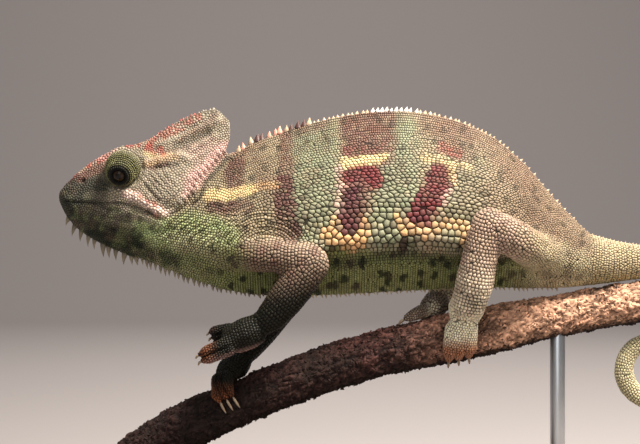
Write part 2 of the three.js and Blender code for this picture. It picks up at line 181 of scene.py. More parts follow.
def regionOf(nodeName):
    if nodeName in ("head", "casque", "lower_jaw"):
        return "head"
    if nodeName.startswith("eye_turret"):
        return "turret"
    if "toes" in nodeName:
        return "toe"
    if nodeName.startswith(("hand", "foot")):
        return "foot"
    if nodeName.startswith(("upper_arm", "forearm", "thigh", "shank")):
        return "limb"
    return "tail" if nodeName.startswith("tail") else nodeName


# The way that it looks is in degrees. Its rings and its opening are in radians from there.
turret = {
    "x": -78, "y": 6.9, "z": 114, "radius": 6.1, "forward": 8, "down": 30, "cone": 0.9, "funnel": 1.4,
    "rings": 12, "ringDepth": 0.45, "firstRing": 0.42, "ringStep": 0.128, "opening": 0.37,
    "rim": 0.45, "rimRadius": 7.3,
    "coatHeight": 0.6, "coatReach": 1.4,  # where the lids' scales start, and how far out they are found
}


# The spines of the solids come off, as finer ones are set on the skin later.
def dropSpines(piece):
    mesh = piece.data
    pull = np.zeros((len(mesh.vertices), 3))
    count = np.zeros(len(mesh.vertices))
    places = vertexArray(piece)
    for edge in mesh.edges:
        a, b = edge.vertices
        way = places[b] - places[a]
        way /= max(np.linalg.norm(way), 1e-9)
        pull[a] += way
        pull[b] -= way
        count[[a, b]] += 1
    sharpness = np.linalg.norm(pull, axis=1) / np.maximum(count, 1)
    selectParts(piece, "VERT", (sharpness > 0.8) & (np.abs(places[:, 1]) < 0.3 * mm))
    bpy.ops.mesh.dissolve_verts()
    endEdit()


def treeOf(pieces):
    places, faces = [], []
    for piece in pieces:
        first = len(places)
        places += [vertex.co.copy() for vertex in piece.data.vertices]
        faces += [tuple(first + index for index in face.vertices) for face in piece.data.polygons]
    return BVHTree.FromPolygons(places, faces)


# The flat ends of the tail's lengths are drawn out until they meet.
def drawOutCaps(pieces):
    trees = [treeOf([piece]) for piece in pieces]
    for index, piece in enumerate(pieces):
        reach = skinSettings["capReach"] * mm
        caps = [
            any(tree.ray_cast(face.center + face.normal * 0.02 * mm, face.normal, reach)[0] is not None
                for other, tree in enumerate(trees) if other != index)
            for face in piece.data.polygons]
        selectParts(piece, "FACE", caps)
        bpy.ops.mesh.extrude_region_shrink_fatten(TRANSFORM_OT_shrink_fatten={"value": reach})
        endEdit()


def buildFlesh():
    copies = {name: mergedCopy(name, f"flesh_{name}") for name in fleshNodes}
    for name in ("lower_jaw", "neck", "trunk"):
        dropSpines(copies[name])
    drawOutCaps([copies[name] for name in fleshNodes if name.startswith("tail")])
    for name, copy in copies.items():
        if not name.startswith("tail"):
            applyModifier(copy, "DISPLACE", strength=skinSettings["grow"] * mm, mid_level=0)
    faceNode = np.concatenate([
        np.full(len(copy.data.polygons), index) for index, copy in enumerate(copies.values())])
    bodyTree = treeOf([copies["neck"], copies["trunk"]])
    flesh = joined(list(copies.values()), "skin")
    tree = treeOf([flesh])
    applyModifier(flesh, "REMESH", mode="VOXEL", voxel_size=skinSettings["voxel"] * mm)
    reach = turret["radius"] + 1
    lids = [
        math.hypot(face.center.x / mm - turret["x"], abs(face.center.y) / mm - turret["y"],
                   face.center.z / mm - turret["z"]) < reach
        for face in flesh.data.polygons]
    selectParts(flesh, "FACE", lids)
    bpy.ops.mesh.subdivide(number_cuts=1)
    endEdit()
    return flesh, tree, faceNode, bodyTree


# The node that each place lies on.
def nearestNodes(places, tree, faceNode):
    return np.array([faceNode[tree.find_nearest(Vector(place))[2]] for place in places])


def edgeEnds(piece):
    ends = np.empty(len(piece.data.edges) * 2, np.int32)
    piece.data.edges.foreach_get("vertices", ends)
    return ends.reshape(-1, 2).T


# Spreads values over the mesh by averaging each vertex with its neighbours.
def spread(piece, values, times):
    a, b = edgeEnds(piece)
    size = len(values)
    count = np.maximum(np.bincount(a, minlength=size) + np.bincount(b, minlength=size), 1)
    for _ in range(times):
        total = np.bincount(a, values[b], size) + np.bincount(b, values[a], size)
        values = 0.5 * values + 0.5 * total / count
    return values


def addGroup(piece, name, weights, levels=20):
    group = piece.vertex_groups.new(name=name)
    steps = np.round(np.clip(weights, 0, 1) * levels).astype(int)
    for step in range(1, levels + 1):
        members = np.flatnonzero(steps == step).tolist()
        if members:
            group.add(members, step / levels, "REPLACE")


def smoothPart(piece, weights, times):
    addGroup(piece, "smoothing", weights)
    applyModifier(piece, "SMOOTH", factor=0.5, iterations=times, vertex_group="smoothing")
    piece.vertex_groups.remove(piece.vertex_groups["smoothing"])


def smoothStep(low, high, value):
    t = np.clip((value - low) / (high - low), 0, 1)
    return t * t * (3 - 2 * t)


def bell(value, width):
    return np.exp(-((value / width) ** 2))


# Where each limb starts in the body, the way that it leaves, and how far the body takes it in.
limbRoots = {
    "upper_arm_left": ((-49, -5, 87), (1, -0.45, 0), 15),
    "upper_arm_right": ((-48, 5, 86.6), (1, 0.45, -0.25), 15),
    "thigh_left": ((64, -2, 82), (-0.84, -0.45, 0.4), 23),
    "thigh_right": ((64, 2, 82), (-0.84, 0.45, 0.4), 23),
}


# For each limb: how far the places lie from its root, how far the root reaches, and which are its own.
def limbReaches(places, nodeOfPlace):
    for name, (start, way, reach) in limbRoots.items():
        along = (places - np.array(start)) @ (np.array(way) / np.linalg.norm(way))
        yield along, reach, nodeOfPlace == fleshNodes.index(name)


# The limbs' upper ends sink into the flank, so that the skin runs on from the body.
def sinkLimbRoots(piece, nodeOfVertex, bodyTree):
    places = vertexArray(piece) / mm
    sunk = np.zeros(len(places))
    for along, reach, own in limbReaches(places, nodeOfVertex):
        share = (1 - smoothStep(reach * 0.2, reach, along)) * own
        for index in np.flatnonzero(share > 0.01):
            onBody = bodyTree.find_nearest(Vector(places[index] * mm))[0] / mm
            places[index] += (np.array(onBody) - places[index]) * share[index] * skinSettings["rootHold"]
        sunk = np.maximum(sunk, share)
    setVertices(piece, places * mm)
    return sunk


# The node and the region that each point of the skin lies in, and how much each region weighs there.
def findRegions(blurs):
    nodes = nearestNodes(vertexArray(skin), fleshTree, faceNode)
    found = np.array([regions.index(regionOf(name)) for name in fleshNodes])[nodes]
    weights = {
        region: spread(skin, (found == index).astype(float), blurs) for index, region in enumerate(regions)}
    return nodes, found, weights


skin, fleshTree, faceNode, bodyTree = buildFlesh()
report(f"flesh remeshed, {len(skin.data.vertices)} points")
skinNode, regionIndex, masks = findRegions(12)
report("regions found")
rootShare = sinkLimbRoots(skin, skinNode, bodyTree)
rootShare = np.clip(spread(skin, np.clip(rootShare * 2, 0, 1), 16) * 1.6, 0, 1)
smoothPart(skin, rootShare, skinSettings["rootSmoothing"])
smoothPart(skin, masks["neck"] + masks["trunk"], skinSettings["bodySmoothing"])
smoothPart(skin, masks["limb"] + masks["tail"], skinSettings["limbSmoothing"])
smoothPart(skin, masks["head"] + masks["turret"], skinSettings["headSmoothing"])
smoothPart(skin, masks["foot"] + masks["toe"], skinSettings["footSmoothing"])
report("skin smoothed")


# Smooth noise over a plane, from random values on a unit grid, between -1 and 1.
def planeNoise(u, v, seed):
    iu, iv = np.floor(u), np.floor(v)
    fu, fv = smoothStep(0, 1, u - iu), smoothStep(0, 1, v - iv)

    def corner(du, dv):
        return np.sin((iu + du) * 127.1 + (iv + dv) * 311.7 + seed * 74.7) * 43758.5453 % 1 * 2 - 1

    low = corner(0, 0) * (1 - fu) + corner(1, 0) * fu
    high = corner(0, 1) * (1 - fu) + corner(1, 1) * fu
    return low * (1 - fv) + high * fv


# The distance to a path in the side view, and the share of the path at which its nearest point lies.
def pathDistance(x, z, path):
    nearest, share = np.full(len(x), np.inf), np.zeros(len(x))
    for index, ((x1, z1), (x2, z2)) in enumerate(zip(path, path[1:])):
        t = np.clip(((x - x1) * (x2 - x1) + (z - z1) * (z2 - z1)) / ((x2 - x1) ** 2 + (z2 - z1) ** 2), 0, 1)
        away = np.hypot(x - x1 - t * (x2 - x1), z - z1 - t * (z2 - z1))
        closer = away < nearest
        nearest[closer] = away[closer]
        share[closer] = (index + t[closer]) / (len(path) - 1)
    return nearest, share


# Ridges and grooves of the head: the path in the side view, half the width, and the height.
headRelief = {
    "brow": ([(-96, 109.4), (-90, 115.2), (-83.5, 120.2), (-77, 122), (-70, 121.6)], 1.3, 0.75),
    "lateralCrest": ([(-70, 120.8), (-59, 124.4), (-51, 128.4), (-46.6, 130)], 1.1, 1.05),
    "temple": ([(-72.4, 115.2), (-68.8, 116.3), (-65.3, 117.2), (-61, 118.4), (-56, 116.6)], 1.1, 1.1),
    "underTemple": ([(-69, 114.2), (-64.6, 114.9), (-60, 115.6)], 0.9, -0.6),
    "upperLip": ([(-84, 106.4), (-78, 106.6), (-74, 105.1), (-68.7, 101.8), (-62.4, 98.2)], 1, 1.0),
    "lowerLip": ([(-80, 100.8), (-70.4, 98.6), (-64.4, 96.6)], 1, 0.55),
    "mouth": ([(-99.6, 104.2), (-94, 103.4), (-86, 103), (-78, 103.2), (-71, 101), (-63.6, 96.8)],
              0.42, -0.55),
    "cheekEdge": ([(-45.6, 122), (-49.3, 117), (-55, 110.6), (-56, 106), (-59, 103.6), (-62, 102)],
                  1.3, 1.0),
    "behindCheek": ([(-44.6, 119), (-47.4, 115.4), (-52.8, 109), (-54, 104.6), (-58, 101.6)], 0.9, -0.8),
    "jawFold": ([(-72, 95.6), (-66, 94), (-60.6, 95.4)], 0.9, -0.4),
    "cheekFold": ([(-72, 109.4), (-67, 104.8), (-62.6, 101.6)], 0.8, -0.4),
    "casqueHollow": ([(-64, 121), (-56, 123.6), (-50, 125.6)], 2.0, -0.5),
    "casqueFlute": ([(-66, 124), (-57, 128.4), (-52, 131)], 0.9, 0.45),
    "casqueRib": ([(-58, 119.6), (-51.6, 123.6), (-48, 125)], 0.8, 0.5),
    "eyeBag": ([(-84, 109.4), (-78.6, 106.9), (-72.4, 108.6)], 0.8, 0.45),
    "snoutRidge": ([(-97, 107.6), (-92, 108.8), (-86.4, 111.4)], 1.0, 0.35),
    "nostril": ([(-91.4, 110.2), (-91, 110.5)], 0.55, -0.9),
    "nostrilRim": ([(-92, 111.4), (-90.4, 111.5)], 0.7, 0.35),
}
# Folds of the loose skin: where they lie in the side view, how far they reach, and the way that they run.
looseFolds = [
    {"at": (-56.5, 96.5), "reach": 13, "spacing": 2.0, "depth": 0.8, "run": 42},
    {"at": (-80, 94), "reach": 13, "spacing": 2.1, "depth": 0.42, "run": -17},
    {"at": (-66.5, 109), "reach": 8, "spacing": 1.9, "depth": 0.5, "run": -48},
    {"at": (-44, 99), "reach": 9, "spacing": 1.9, "depth": 0.5, "run": 10},
    {"at": (-47, 84), "reach": 8, "spacing": 2.1, "depth": 0.4, "run": -28},
    {"at": (49, 88), "reach": 9, "spacing": 2.4, "depth": 0.4, "run": 60},
    {"at": (52, 108), "reach": 9, "spacing": 2.2, "depth": 0.3, "run": -64},
]
limbFolds = [
    {"at": (31, 72.4), "reach": 5, "spacing": 1.9, "depth": 0.7, "run": -16},
    {"at": (38, 88), "reach": 5, "spacing": 1.9, "depth": 0.35, "run": -30},
    {"at": (-20, 86), "reach": 5, "spacing": 1.8, "depth": 0.35, "run": 34},
    {"at": (-30, 68), "reach": 5, "spacing": 1.8, "depth": 0.3, "run": -50},
]
# Folds in rings round the shoulder, a little wider than they are tall.
shoulderFolds = {"at": (-33, 87), "tall": 1.15, "from": 6, "to": 19, "spacing": 2.0, "depth": 0.5}
# The edge that hangs over the belly, and the belly's fine pleats.
flank = {"edge": 89.5, "wave": 1.2, "from": -26, "to": 52, "overhang": 0.7, "pleat": 0.16}


def turretFrames():
    forward, down = math.radians(turret["forward"]), math.radians(turret["down"])
    for side in (-1, 1):
        look = np.array([-math.sin(forward), side * math.cos(forward), -math.sin(down)])
        yield side, np.array([turret["x"], side * turret["y"], turret["z"]]), look / np.linalg.norm(look)


# For each turret: its side, the places on that side, how far they lie from its middle, and at what angle.
def lidAngles(places):
    for side, centre, look in turretFrames():
        away = places - centre
        distance = np.linalg.norm(away, axis=1)
        angle = np.arccos(np.clip(away @ look / np.maximum(distance, 1e-6), -1, 1))
        yield side, places[:, 1] * side > 0, distance, angle


# The rings of the lids: 1 in their grooves, 0 between them.
def lidRings(angle):
    phase = (angle - turret["firstRing"]) / turret["ringStep"]
    return 0.5 + 0.5 * np.cos(2 * math.pi * phase)


def turretRelief(places, weight):
    relief = np.zeros(len(places))
    opening = turret["opening"]
    for side, onSide, distance, angle in lidAngles(places):
        rings = lidRings(angle) ** 3 * smoothStep(0.45, 0.6, angle)
        lid = turret["cone"] * bell(angle - 0.5, 0.3) - turret["ringDepth"] * rings
        lid -= turret["funnel"] * (1 - smoothStep(opening - 0.16, opening + 0.04, angle))
        near = onSide & (distance < 9)
        relief[near] += (lid * weight)[near]
        rim = bell(distance - turret["rimRadius"], 0.55) * (1 - weight)
        rim *= smoothStep(0.3, 0.7, places[:, 1] * side / 7)
        relief[near] += turret["rim"] * rim[near]
    return relief


def foldWaves(folds, x, z):
    relief = np.zeros(len(x))
    for fold in folds:
        dx, dz = x - fold["at"][0], z - fold["at"][1]
        run = math.radians(fold["run"])
        across = dz * math.cos(run) - dx * math.sin(run) + 0.5 * np.sin((dx * math.cos(run) + dz) * 0.5)
        wave = np.abs(np.sin(math.pi * across / fold["spacing"])) - 0.6
        relief += fold["depth"] * wave * bell(np.hypot(dx, dz), fold["reach"] * 0.8)
    return relief


def shoulderDistance(x, z):
    return np.hypot(x - shoulderFolds["at"][0], (z - shoulderFolds["at"][1]) * shoulderFolds["tall"])


def shoulderRelief(x, z):
    dx, dz = x - shoulderFolds["at"][0], z - shoulderFolds["at"][1]
    distance = shoulderDistance(x, z)
    ring = smoothStep(shoulderFolds["from"], shoulderFolds["from"] + 2, distance)
    ring *= 1 - smoothStep(shoulderFolds["to"] - 5, shoulderFolds["to"], distance)
    ring *= smoothStep(-4, 4, dz - 0.35 * dx)
    distance += 1.1 * planeNoise(x * 0.19, z * 0.19, 43)
    wave = np.abs(np.sin(math.pi * distance / shoulderFolds["spacing"])) - 0.6
    return shoulderFolds["depth"] * wave * ring


def bodyRelief(x, z, sideways):
    along = smoothStep(flank["from"], flank["from"] + 12, x)
    along *= 1 - smoothStep(flank["to"] - 12, flank["to"], x)
    edge = flank["edge"] + flank["wave"] * np.sin(x * 0.16)
    hang = bell(z - edge - 2, 4) - 1.1 * bell(z - edge + 3.4, 2.4)
    relief = flank["overhang"] * along * hang * sideways
    pleat = np.sin(x * 2.6 + 1.4 * planeNoise(x * 0.3, z * 0.2, 47))
    pleat *= 1 - smoothStep(edge - 5, edge - 2, z)
    relief += flank["pleat"] * pleat * smoothStep(-50, -36, x) * (1 - smoothStep(40, 54, x))
    relief += foldWaves(looseFolds, x, z) * sideways
    return relief + shoulderRelief(x, z) * sideways


# The toes of each bundle: how many, how far apart, the way across them, and their middle line.
toeBundles = {
    "outer_toes_front_left":
        (2, 1.9, (-0.35, 0, 0.94), [(-40.5, -16, 60.2), (-47.6, -17.4, 57.6), (-53.7, -16.4, 54.8)]),
    "inner_toes_front_left":
        (3, 1.6, (-0.35, 0, 0.94), [(-40.8, -12, 62.8), (-46.6, -10.6, 62), (-50.6, -9.8, 60.6)]),
    "outer_toes_front_right":
        (2, 2, (0.93, 0, 0.36), [(-44.6, 3.4, 48.6), (-47.4, 9, 44.6), (-46.6, 10, 38)]),
    "inner_toes_front_right":
        (3, 2, (0.93, 0, 0.36), [(-45.8, -2, 49), (-47.6, -7.6, 46), (-45, -10, 41)]),
    "outer_toes_hind_left":
        (3, 3, (0.98, 0, 0.2), [(28.6, -11, 68), (27.8, -11.4, 61), (27.6, -8, 53.4)]),
    "inner_toes_hind_left":
        (2, 2.6, (0.98, 0, 0.2), [(29.2, -1, 71), (29.6, 8.4, 67), (29.6, 9.6, 58.4)]),
    "outer_toes_hind_right":
        (3, 2.6, (0.3, 0.95, 0), [(20.4, 6.6, 69), (19.4, 11, 62), (19, 8.6, 53)]),
    "inner_toes_hind_right":
        (2, 1.5, (0.3, 0.95, 0), [(20, 1.8, 69.8), (15, -1.2, 67.9), (10.2, -2.4, 65.9)]),
}
toeGroove = {"depth": 0.75, "half": 0.42}


# Grooves part the toes of each bundle, deeper towards their tips.
def toeRelief(places, nodeOfVertex):
    relief = np.zeros(len(places))
    for name, (count, apart, across, path) in toeBundles.items():
        chosen = np.flatnonzero(nodeOfVertex == fleshNodes.index(name))
        points, path = places[chosen], np.array(path, float)
        nearest = np.full(len(points), np.inf)
        offset, along = np.zeros(len(points)), np.zeros(len(points))
        for index, (start, end) in enumerate(zip(path, path[1:])):
            t = np.clip((points - start) @ (end - start) / ((end - start) ** 2).sum(), 0, 1)
            away = points - start - t[:, None] * (end - start)
            distance = np.linalg.norm(away, axis=1)
            closer = distance < nearest
            nearest[closer] = distance[closer]
            offset[closer] = (away @ np.array(across))[closer]
            along[closer] = (index + t[closer]) / 2
        fan = np.interp(along, [0, 0.5, 1], [0.55, 0.83, 1.1]) * apart
        shallow, start = (0, 0.5) if "hind" in name else (0.35, 0.15)
        depth = toeGroove["depth"] * (shallow + 0.65 * smoothStep(start, start + 0.45, along))
        for index in range(count - 1):
            middle = (index - (count - 2) / 2) * fan
            relief[chosen] -= depth * bell(offset - middle, toeGroove["half"])
    return relief


# How far the folds, ridges and grooves rise from the plain form at each place.
def foldRelief(places, normals, weights, nodeOfVertex):
    x, z = places[:, 0], places[:, 2]
    sideways = smoothStep(0.2, 0.5, np.abs(normals[:, 1]))
    relief = turretRelief(places, weights["turret"])
    onHead = np.clip(weights["head"] + weights["neck"], 0, 1)
    for name, (path, width, height) in headRelief.items():
        away, share = pathDistance(x, z, path)
        ends = smoothStep(0, 0.12, share) * (1 - smoothStep(0.88, 1, share)) if len(path) > 2 else 1
        lumps = 1 + (0.45 * np.sin(x * 2.9 + z * 2.3) if name == "cheekEdge" else 0)
        relief += height * lumps * bell(away, width) * sideways * ends * onHead
    loose = weights["neck"] + weights["trunk"] + weights["head"] * (1 - weights["turret"])
    relief += foldWaves(limbFolds, x, z) * (weights["limb"] + 0.6 * weights["foot"])
    return relief + bodyRelief(x, z, sideways) * loose + toeRelief(places, nodeOfVertex)


def sculptSkin(piece):
    places = vertexArray(piece) / mm
    normals = vertexArray(piece, "normal")
    relief = foldRelief(places, normals, masks, skinNode)
    relief -= skinSettings["lidRoot"] * masks["head"] * masks["turret"]
    ridge = bell(places[:, 1], 1.5) * smoothStep(0.3, 0.8, normals[:, 2]) * masks["trunk"]
    relief += skinSettings["ridge"] * ridge
    thin = masks["head"] * bell(places[:, 1], 1.6) * smoothStep(117, 121, places[:, 2])
    for region, depth in skinSettings["inset"].items():
        relief -= depth * masks[region] * (1 - (1 - skinSettings["thinInset"]) * thin)
    setVertices(piece, (places + relief[:, None] * normals) * mm)


sculptSkin(skin)
report("skin sculpted")


# Fewer faces where the skin is plain, more on the head and feet.
def lightenSkin(piece):
    addGroup(piece, "plain", masks["trunk"] + masks["neck"] + masks["limb"] + masks["tail"] + 0.15)
    applyModifier(piece, "DECIMATE", decimate_type="COLLAPSE", ratio=skinSettings["keptShare"],
                  vertex_group="plain", vertex_group_factor=1.0)
    piece.vertex_groups.clear()
    applyModifier(piece, "TRIANGULATE")
    editAll(piece)
    bpy.ops.uv.smart_project(angle_limit=math.radians(66), island_margin=0.001)
    endEdit()
    shadeSmooth(piece)


lightenSkin(skin)
report(f"skin lightened to {len(skin.data.polygons)} faces")

# ---- Markings ----
# Each tone in red, green and blue, from 0 to 255. Some carry painted light or shade as well as the animal's
# own colour: the tones of the snout, the throat, the hands, the lids and the near black gloom carry painted
# shade, and those of the hind feet and the pale coil carry painted light.
tones = {
    "green": (140, 140, 111), "tan": (152, 130, 107), "rump": (134, 106, 86), "brown": (118, 84, 72),
    "maroon": (112, 44, 46), "purple": (90, 45, 48), "rust": (140, 72, 62), "cream": (230, 200, 144),
    "orange": (226, 176, 122), "dark": (48, 30, 27), "spot": (60, 52, 38),
    "belly": (132, 136, 83), "bellySpot": (36, 40, 22), "neck": (156, 140, 112),
    "cheek": (162, 148, 127), "casque": (168, 154, 133), "red": (176, 92, 80), "pinkFold": (216, 172, 160),
    "lip": (236, 206, 188), "shadedSnout": (42, 47, 38), "shadedThroat": (28, 36, 18), "neckGreen": (184, 200, 136),
    "throatGreen": (138, 146, 96), "turret": (134, 130, 88), "lid": (52, 50, 34), "gloom": (18, 15, 11),
    "limb": (180, 152, 130), "arm": (168, 144, 122), "mottleAndShade": (112, 90, 72), "hand": (25, 22, 8),
    "hindFoot": (255, 240, 207), "farFoot": (84, 56, 48), "toeTip": (166, 96, 58),
    "tail": (186, 166, 132), "tailShade": (170, 156, 110), "coil": (226, 212, 170),
    "crestPale": (244, 230, 220), "crestOrange": (234, 164, 138), "crestTan": (192, 162, 130),
    "crestDark": (92, 60, 52), "chinSpine": (130, 118, 96), "ventral": (170, 150, 118),
}
# Each mark is a stroke in the side view: tone, its path, half widths at its ends, softness and strength.
flankMarks = [
    ("green", [(-18, 127), (-17, 91)], (6.5, 7), 3, 1),
    ("green", [(8.5, 125), (7, 90)], (6, 6.5), 3, 1),
    ("green", [(31, 116), (27, 93)], (4, 5), 4, 0.6),
    ("brown", [(-1, 134), (-0.5, 121.5)], (8.5, 8), 2.2, 0.9),
    ("brown", [(-26, 129), (-17, 129.6)], (4, 3.4), 2.4, 0.7),
    ("brown", [(26, 127), (29, 119)], (4.6, 3.6), 2.2, 0.6),
    ("rust", [(22.4, 120.6), (27.2, 118.8)], (1.7, 1.7), 0.9, 0.75),
    ("rump", [(24, 130), (36, 128), (48, 116)], (6, 7), 5, 0.7),
    ("rump", [(34, 106), (52, 100)], (7, 6), 6, 0.3),
    # Painted light under the rear of the thigh and the tail's root, where they are shaded.
    ("coil", [(46, 86), (64, 81)], (6, 6), 4, 0.6),
    ("crestOrange", [(-45, 119.8), (-40.6, 122.8)], (1.3, 1.1), 0.8, 0.6),
    ("brown", [(-37, 122), (-33, 110)], (3, 3), 3, 0.35),
    ("pinkFold", [(-9.4, 113.4), (-9.8, 99)], (1.3, 1.4), 0.9, 0.55),
    ("maroon", [(-7.6, 119.4), (2.8, 120.8)], (1.2, 1.1), 0.9, 0.6),
    ("brown", [(-3, 124), (3, 125)], (3.6, 3), 2, 0.5),
    ("cream", [(-8.2, 115.6), (-2, 116.1), (4.6, 117.6)], (1.8, 1.0), 0.5, 1),
    ("rust", [(-5, 110.6), (0.2, 110.9)], (4.1, 3.6), 0.6, 0.8),
    ("maroon", [(-4.6, 110.6), (-0.2, 110.9)], (3.5, 3.2), 0.6, 0.95),
    ("brown", [(-4.8, 106.6), (-2.8, 102.4)], (3.4, 2.4), 1, 0.85),
    ("purple", [(-6, 106), (-6, 100), (-6.6, 95.6)], (2.6, 3.6), 0.7, 0.95),
    ("maroon", [(21.8, 112), (19, 106), (15.2, 99.6)], (3.9, 3.8), 0.7, 0.95),
    ("purple", [(16, 100.6), (13, 96.8)], (2.2, 1.2), 0.8, 0.7),
    ("dark", [(11.4, 95.2), (10, 89.5), (7.4, 84)], (1.7, 0.6), 0.5, 0.9),
    ("pinkFold", [(26.2, 111.6), (22, 102.6)], (0.9, 0.8), 0.7, 0.4),
    ("cream", [(16.6, 117.6), (22.6, 115.9), (31, 114.2)], (1.1, 1.0), 0.7, 0.55),
    ("cream", [(25.2, 114), (25.3, 108.4)], (0.8, 0.5), 0.6, 0.7),
    ("orange", [(-14.6, 94), (-11.6, 92.4), (-7.4, 89.9), (-4.4, 91.4)], (1.7, 2.7), 0.8, 0.85),
    ("orange", [(-11.4, 97.4), (-12.4, 94)], (1, 1.6), 0.9, 0.6),
    ("orange", [(-2.4, 98.6), (-2.2, 94), (-3.6, 91.6)], (0.8, 1.7), 0.8, 0.75),
    ("orange", [(13.4, 95), (17, 93.6), (21.2, 96)], (1.6, 1.2), 0.8, 0.65),
    ("orange", [(24, 97), (28.4, 95.2), (30, 91.6)], (1.6, 2), 1, 0.75),
    ("orange", [(8.4, 98.4), (10.6, 95.4)], (1.1, 1.7), 0.8, 0.75),
    ("dark", [(-11.4, 87), (-10.6, 84.6)], (2.7, 2.3), 0.6, 0.95),
    ("bellySpot", [(-11.4, 82.6), (-10.8, 76.6)], (1.5, 1.2), 0.9, 0.6),
    ("brown", [(-27, 124), (-26.8, 112)], (1.6, 2.4), 1.2, 0.75),
    ("purple", [(-27.4, 109), (-27, 101), (-25.6, 93.4)], (2.6, 3.7), 1, 0.85),
    ("cream", [(-50.4, 105.4), (-44, 105.9), (-37.6, 107.4)], (2, 1.5), 0.6, 1),
    ("orange", [(-37, 107.8), (-30, 108.8)], (1.2, 0.8), 0.9, 0.5),
    ("purple", [(-43.2, 111), (-43, 114.4)], (3.2, 2.8), 1.4, 0.7),
    ("brown", [(-42.6, 117), (-41, 119.6)], (2.6, 2), 1.6, 0.6),
    ("purple", [(-50, 101.4), (-38.5, 101.8)], (1.9, 1.7), 1, 0.75),
    ("throatGreen", [(-72, 88), (-50, 80), (-34, 76)], (5, 5), 3.6, 0.8),
    ("neckGreen", [(-66, 93.6), (-56, 95.6), (-46, 92)], (3.6, 4.6), 3, 0.75),
    # Painted light under the neck, where it faces down into shade.
    ("coil", [(-60, 91.6), (-52, 90.6), (-47, 86)], (2.6, 2.6), 2.4, 0.4),
    # The throat's dark green under the chin, deepened with painted shade.
    ("shadedThroat", [(-76, 88.6), (-62, 84.6)], (2.6, 2), 2, 0.75),
    # Painted light over the shoulder, where its folds fall dark.
    ("tail", [(-40, 97), (-31, 93)], (4, 5), 4, 0.45),
]
headMarks = [
    ("casque", [(-62, 121), (-50, 126)], (5, 6), 3, 1),
    ("red", [(-96.4, 108.4), (-89.6, 115.6), (-84.6, 119.2)], (1.2, 1.8), 0.7, 0.85),
    ("red", [(-78, 122.4), (-70.4, 120.9), (-66, 119)], (0.9, 1.6), 0.6, 0.85),
    ("red", [(-70, 122.4), (-62, 126.8), (-55, 131)], (1.5, 1.1), 0.8, 0.6),
    ("pinkFold", [(-87.4, 117.8), (-81.6, 119.8)], (1.2, 1.2), 0.8, 0.5),
    ("cream", [(-71.4, 118.8), (-68, 118.4)], (0.8, 0.9), 0.6, 0.45),
    ("brown", [(-59.6, 124), (-53.6, 127.4), (-49.6, 131)], (0.8, 0.8), 0.8, 0.45),
    ("brown", [(-64, 119.4), (-57, 121.4), (-51, 121.4)], (0.6, 0.6), 0.6, 0.35),
    ("orange", [(-71, 115.4), (-66, 117), (-61.6, 118)], (1, 1), 0.9, 0.35),
    ("brown", [(-70, 114.4), (-64.6, 115.2)], (0.7, 0.6), 0.6, 0.6),
    ("pinkFold", [(-46.2, 121.6), (-50, 116.8), (-55.4, 110.2), (-56.4, 106)], (1.5, 2.4), 1, 0.85),
    ("pinkFold", [(-53, 115), (-57, 110)], (2, 2), 2, 0.4),
    ("lip", [(-77, 106.4), (-74, 105), (-68.7, 101.8), (-62.6, 98.2)], (1.2, 1.2), 0.6, 0.9),
    ("red", [(-75, 107), (-70.4, 104.2), (-66, 101.6)], (0.6, 0.6), 0.6, 0.7),
    ("red", [(-68.6, 100.2), (-63, 96.8)], (0.5, 0.8), 0.6, 0.6),
    # The snout's grey-green, darkened with painted shade on its side below the ridge and along the mouth.
    ("shadedSnout", [(-99, 106), (-87, 107.4)], (4, 4.4), 2.6, 0.85),
    ("shadedSnout", [(-99, 100), (-84, 101), (-76, 98.6)], (2.6, 1.6), 1.6, 0.6),
    # Painted shade in the nostril.
    ("dark", [(-92.4, 110.8), (-90.6, 110)], (0.9, 0.7), 0.6, 0.8),
    ("throatGreen", [(-78, 88), (-50, 82)], (5, 7), 3, 0.8),
    ("neckGreen", [(-72, 94.6), (-58, 93.6)], (2.6, 4.4), 2.4, 0.85),
    # The throat's dark green, deepened with painted shade under the jaw and chin.
    ("shadedThroat", [(-98, 98), (-86, 95), (-75, 91)], (3.8, 3), 3.4, 0.85),
    ("shadedThroat", [(-88, 92), (-74, 88.2), (-62, 84.6)], (3.2, 2.8), 2.4, 0.9),
    ("brown", [(-92, 111.4), (-84.6, 114.8)], (1.4, 1.4), 1, 0.85),
    ("cheek", [(-89, 105.4), (-80, 105.8)], (1.0, 1.6), 1, 0.35),
    # Painted light under the neck, where it faces down into shade.
    ("coil", [(-60, 91.6), (-53, 91)], (2.6, 3), 2.4, 0.5),
    ("cheek", [(-74, 99.4), (-66, 96.4)], (1.2, 1), 0.9, 0.5),
    ("pinkFold", [(-56, 119), (-51, 122)], (2, 2), 2, 0.3),
]


def linear(tone):
    share = np.array(tones[tone]) / 255
    return np.where(share <= 0.04045, share / 12.92, ((share + 0.055) / 1.055) ** 2.4)


# Flecks are where the mark breaks up, from 0 to 1, and a mark without flecks is whole.
def stroke(colours, x, z, mark, flecks=0.0):
    tone, path, widths, softness, strength = mark
    away, along = pathDistance(x, z, path)
    half = widths[0] + (widths[1] - widths[0]) * along
    cover = strength * (1 - smoothStep(half - softness * 0.5, half + softness, away)) * (1 - flecks)
    return mixed(colours, tone, cover)


# Spots on a jittered lattice in the side view: 1 inside a spot, 0 outside.
def spots(x, z, spacing, size, seed):
    ix, iz = np.floor(x / spacing), np.floor(z / spacing)
    nearest = np.full(len(x), 1e9)
    for stepX in (-1, 0, 1):
        for stepZ in (-1, 0, 1):
            cellX, cellZ = ix + stepX, iz + stepZ
            jitterX = np.sin(cellX * 127.1 + cellZ * 311.7 + seed) * 43758.5453 % 1
            jitterZ = np.sin(cellX * 269.5 + cellZ * 183.3 + seed * 2) * 43758.5453 % 1
            away = np.hypot(x - (cellX + jitterX) * spacing, z - (cellZ + jitterZ) * spacing)
            nearest = np.minimum(nearest, away)
    return 1 - smoothStep(size * 0.7, size * 1.2, nearest)


def mixed(colours, tone, cover):
    cover = np.clip(cover, 0, 1)[:, None]
    return colours * (1 - cover) + linear(tone) * cover


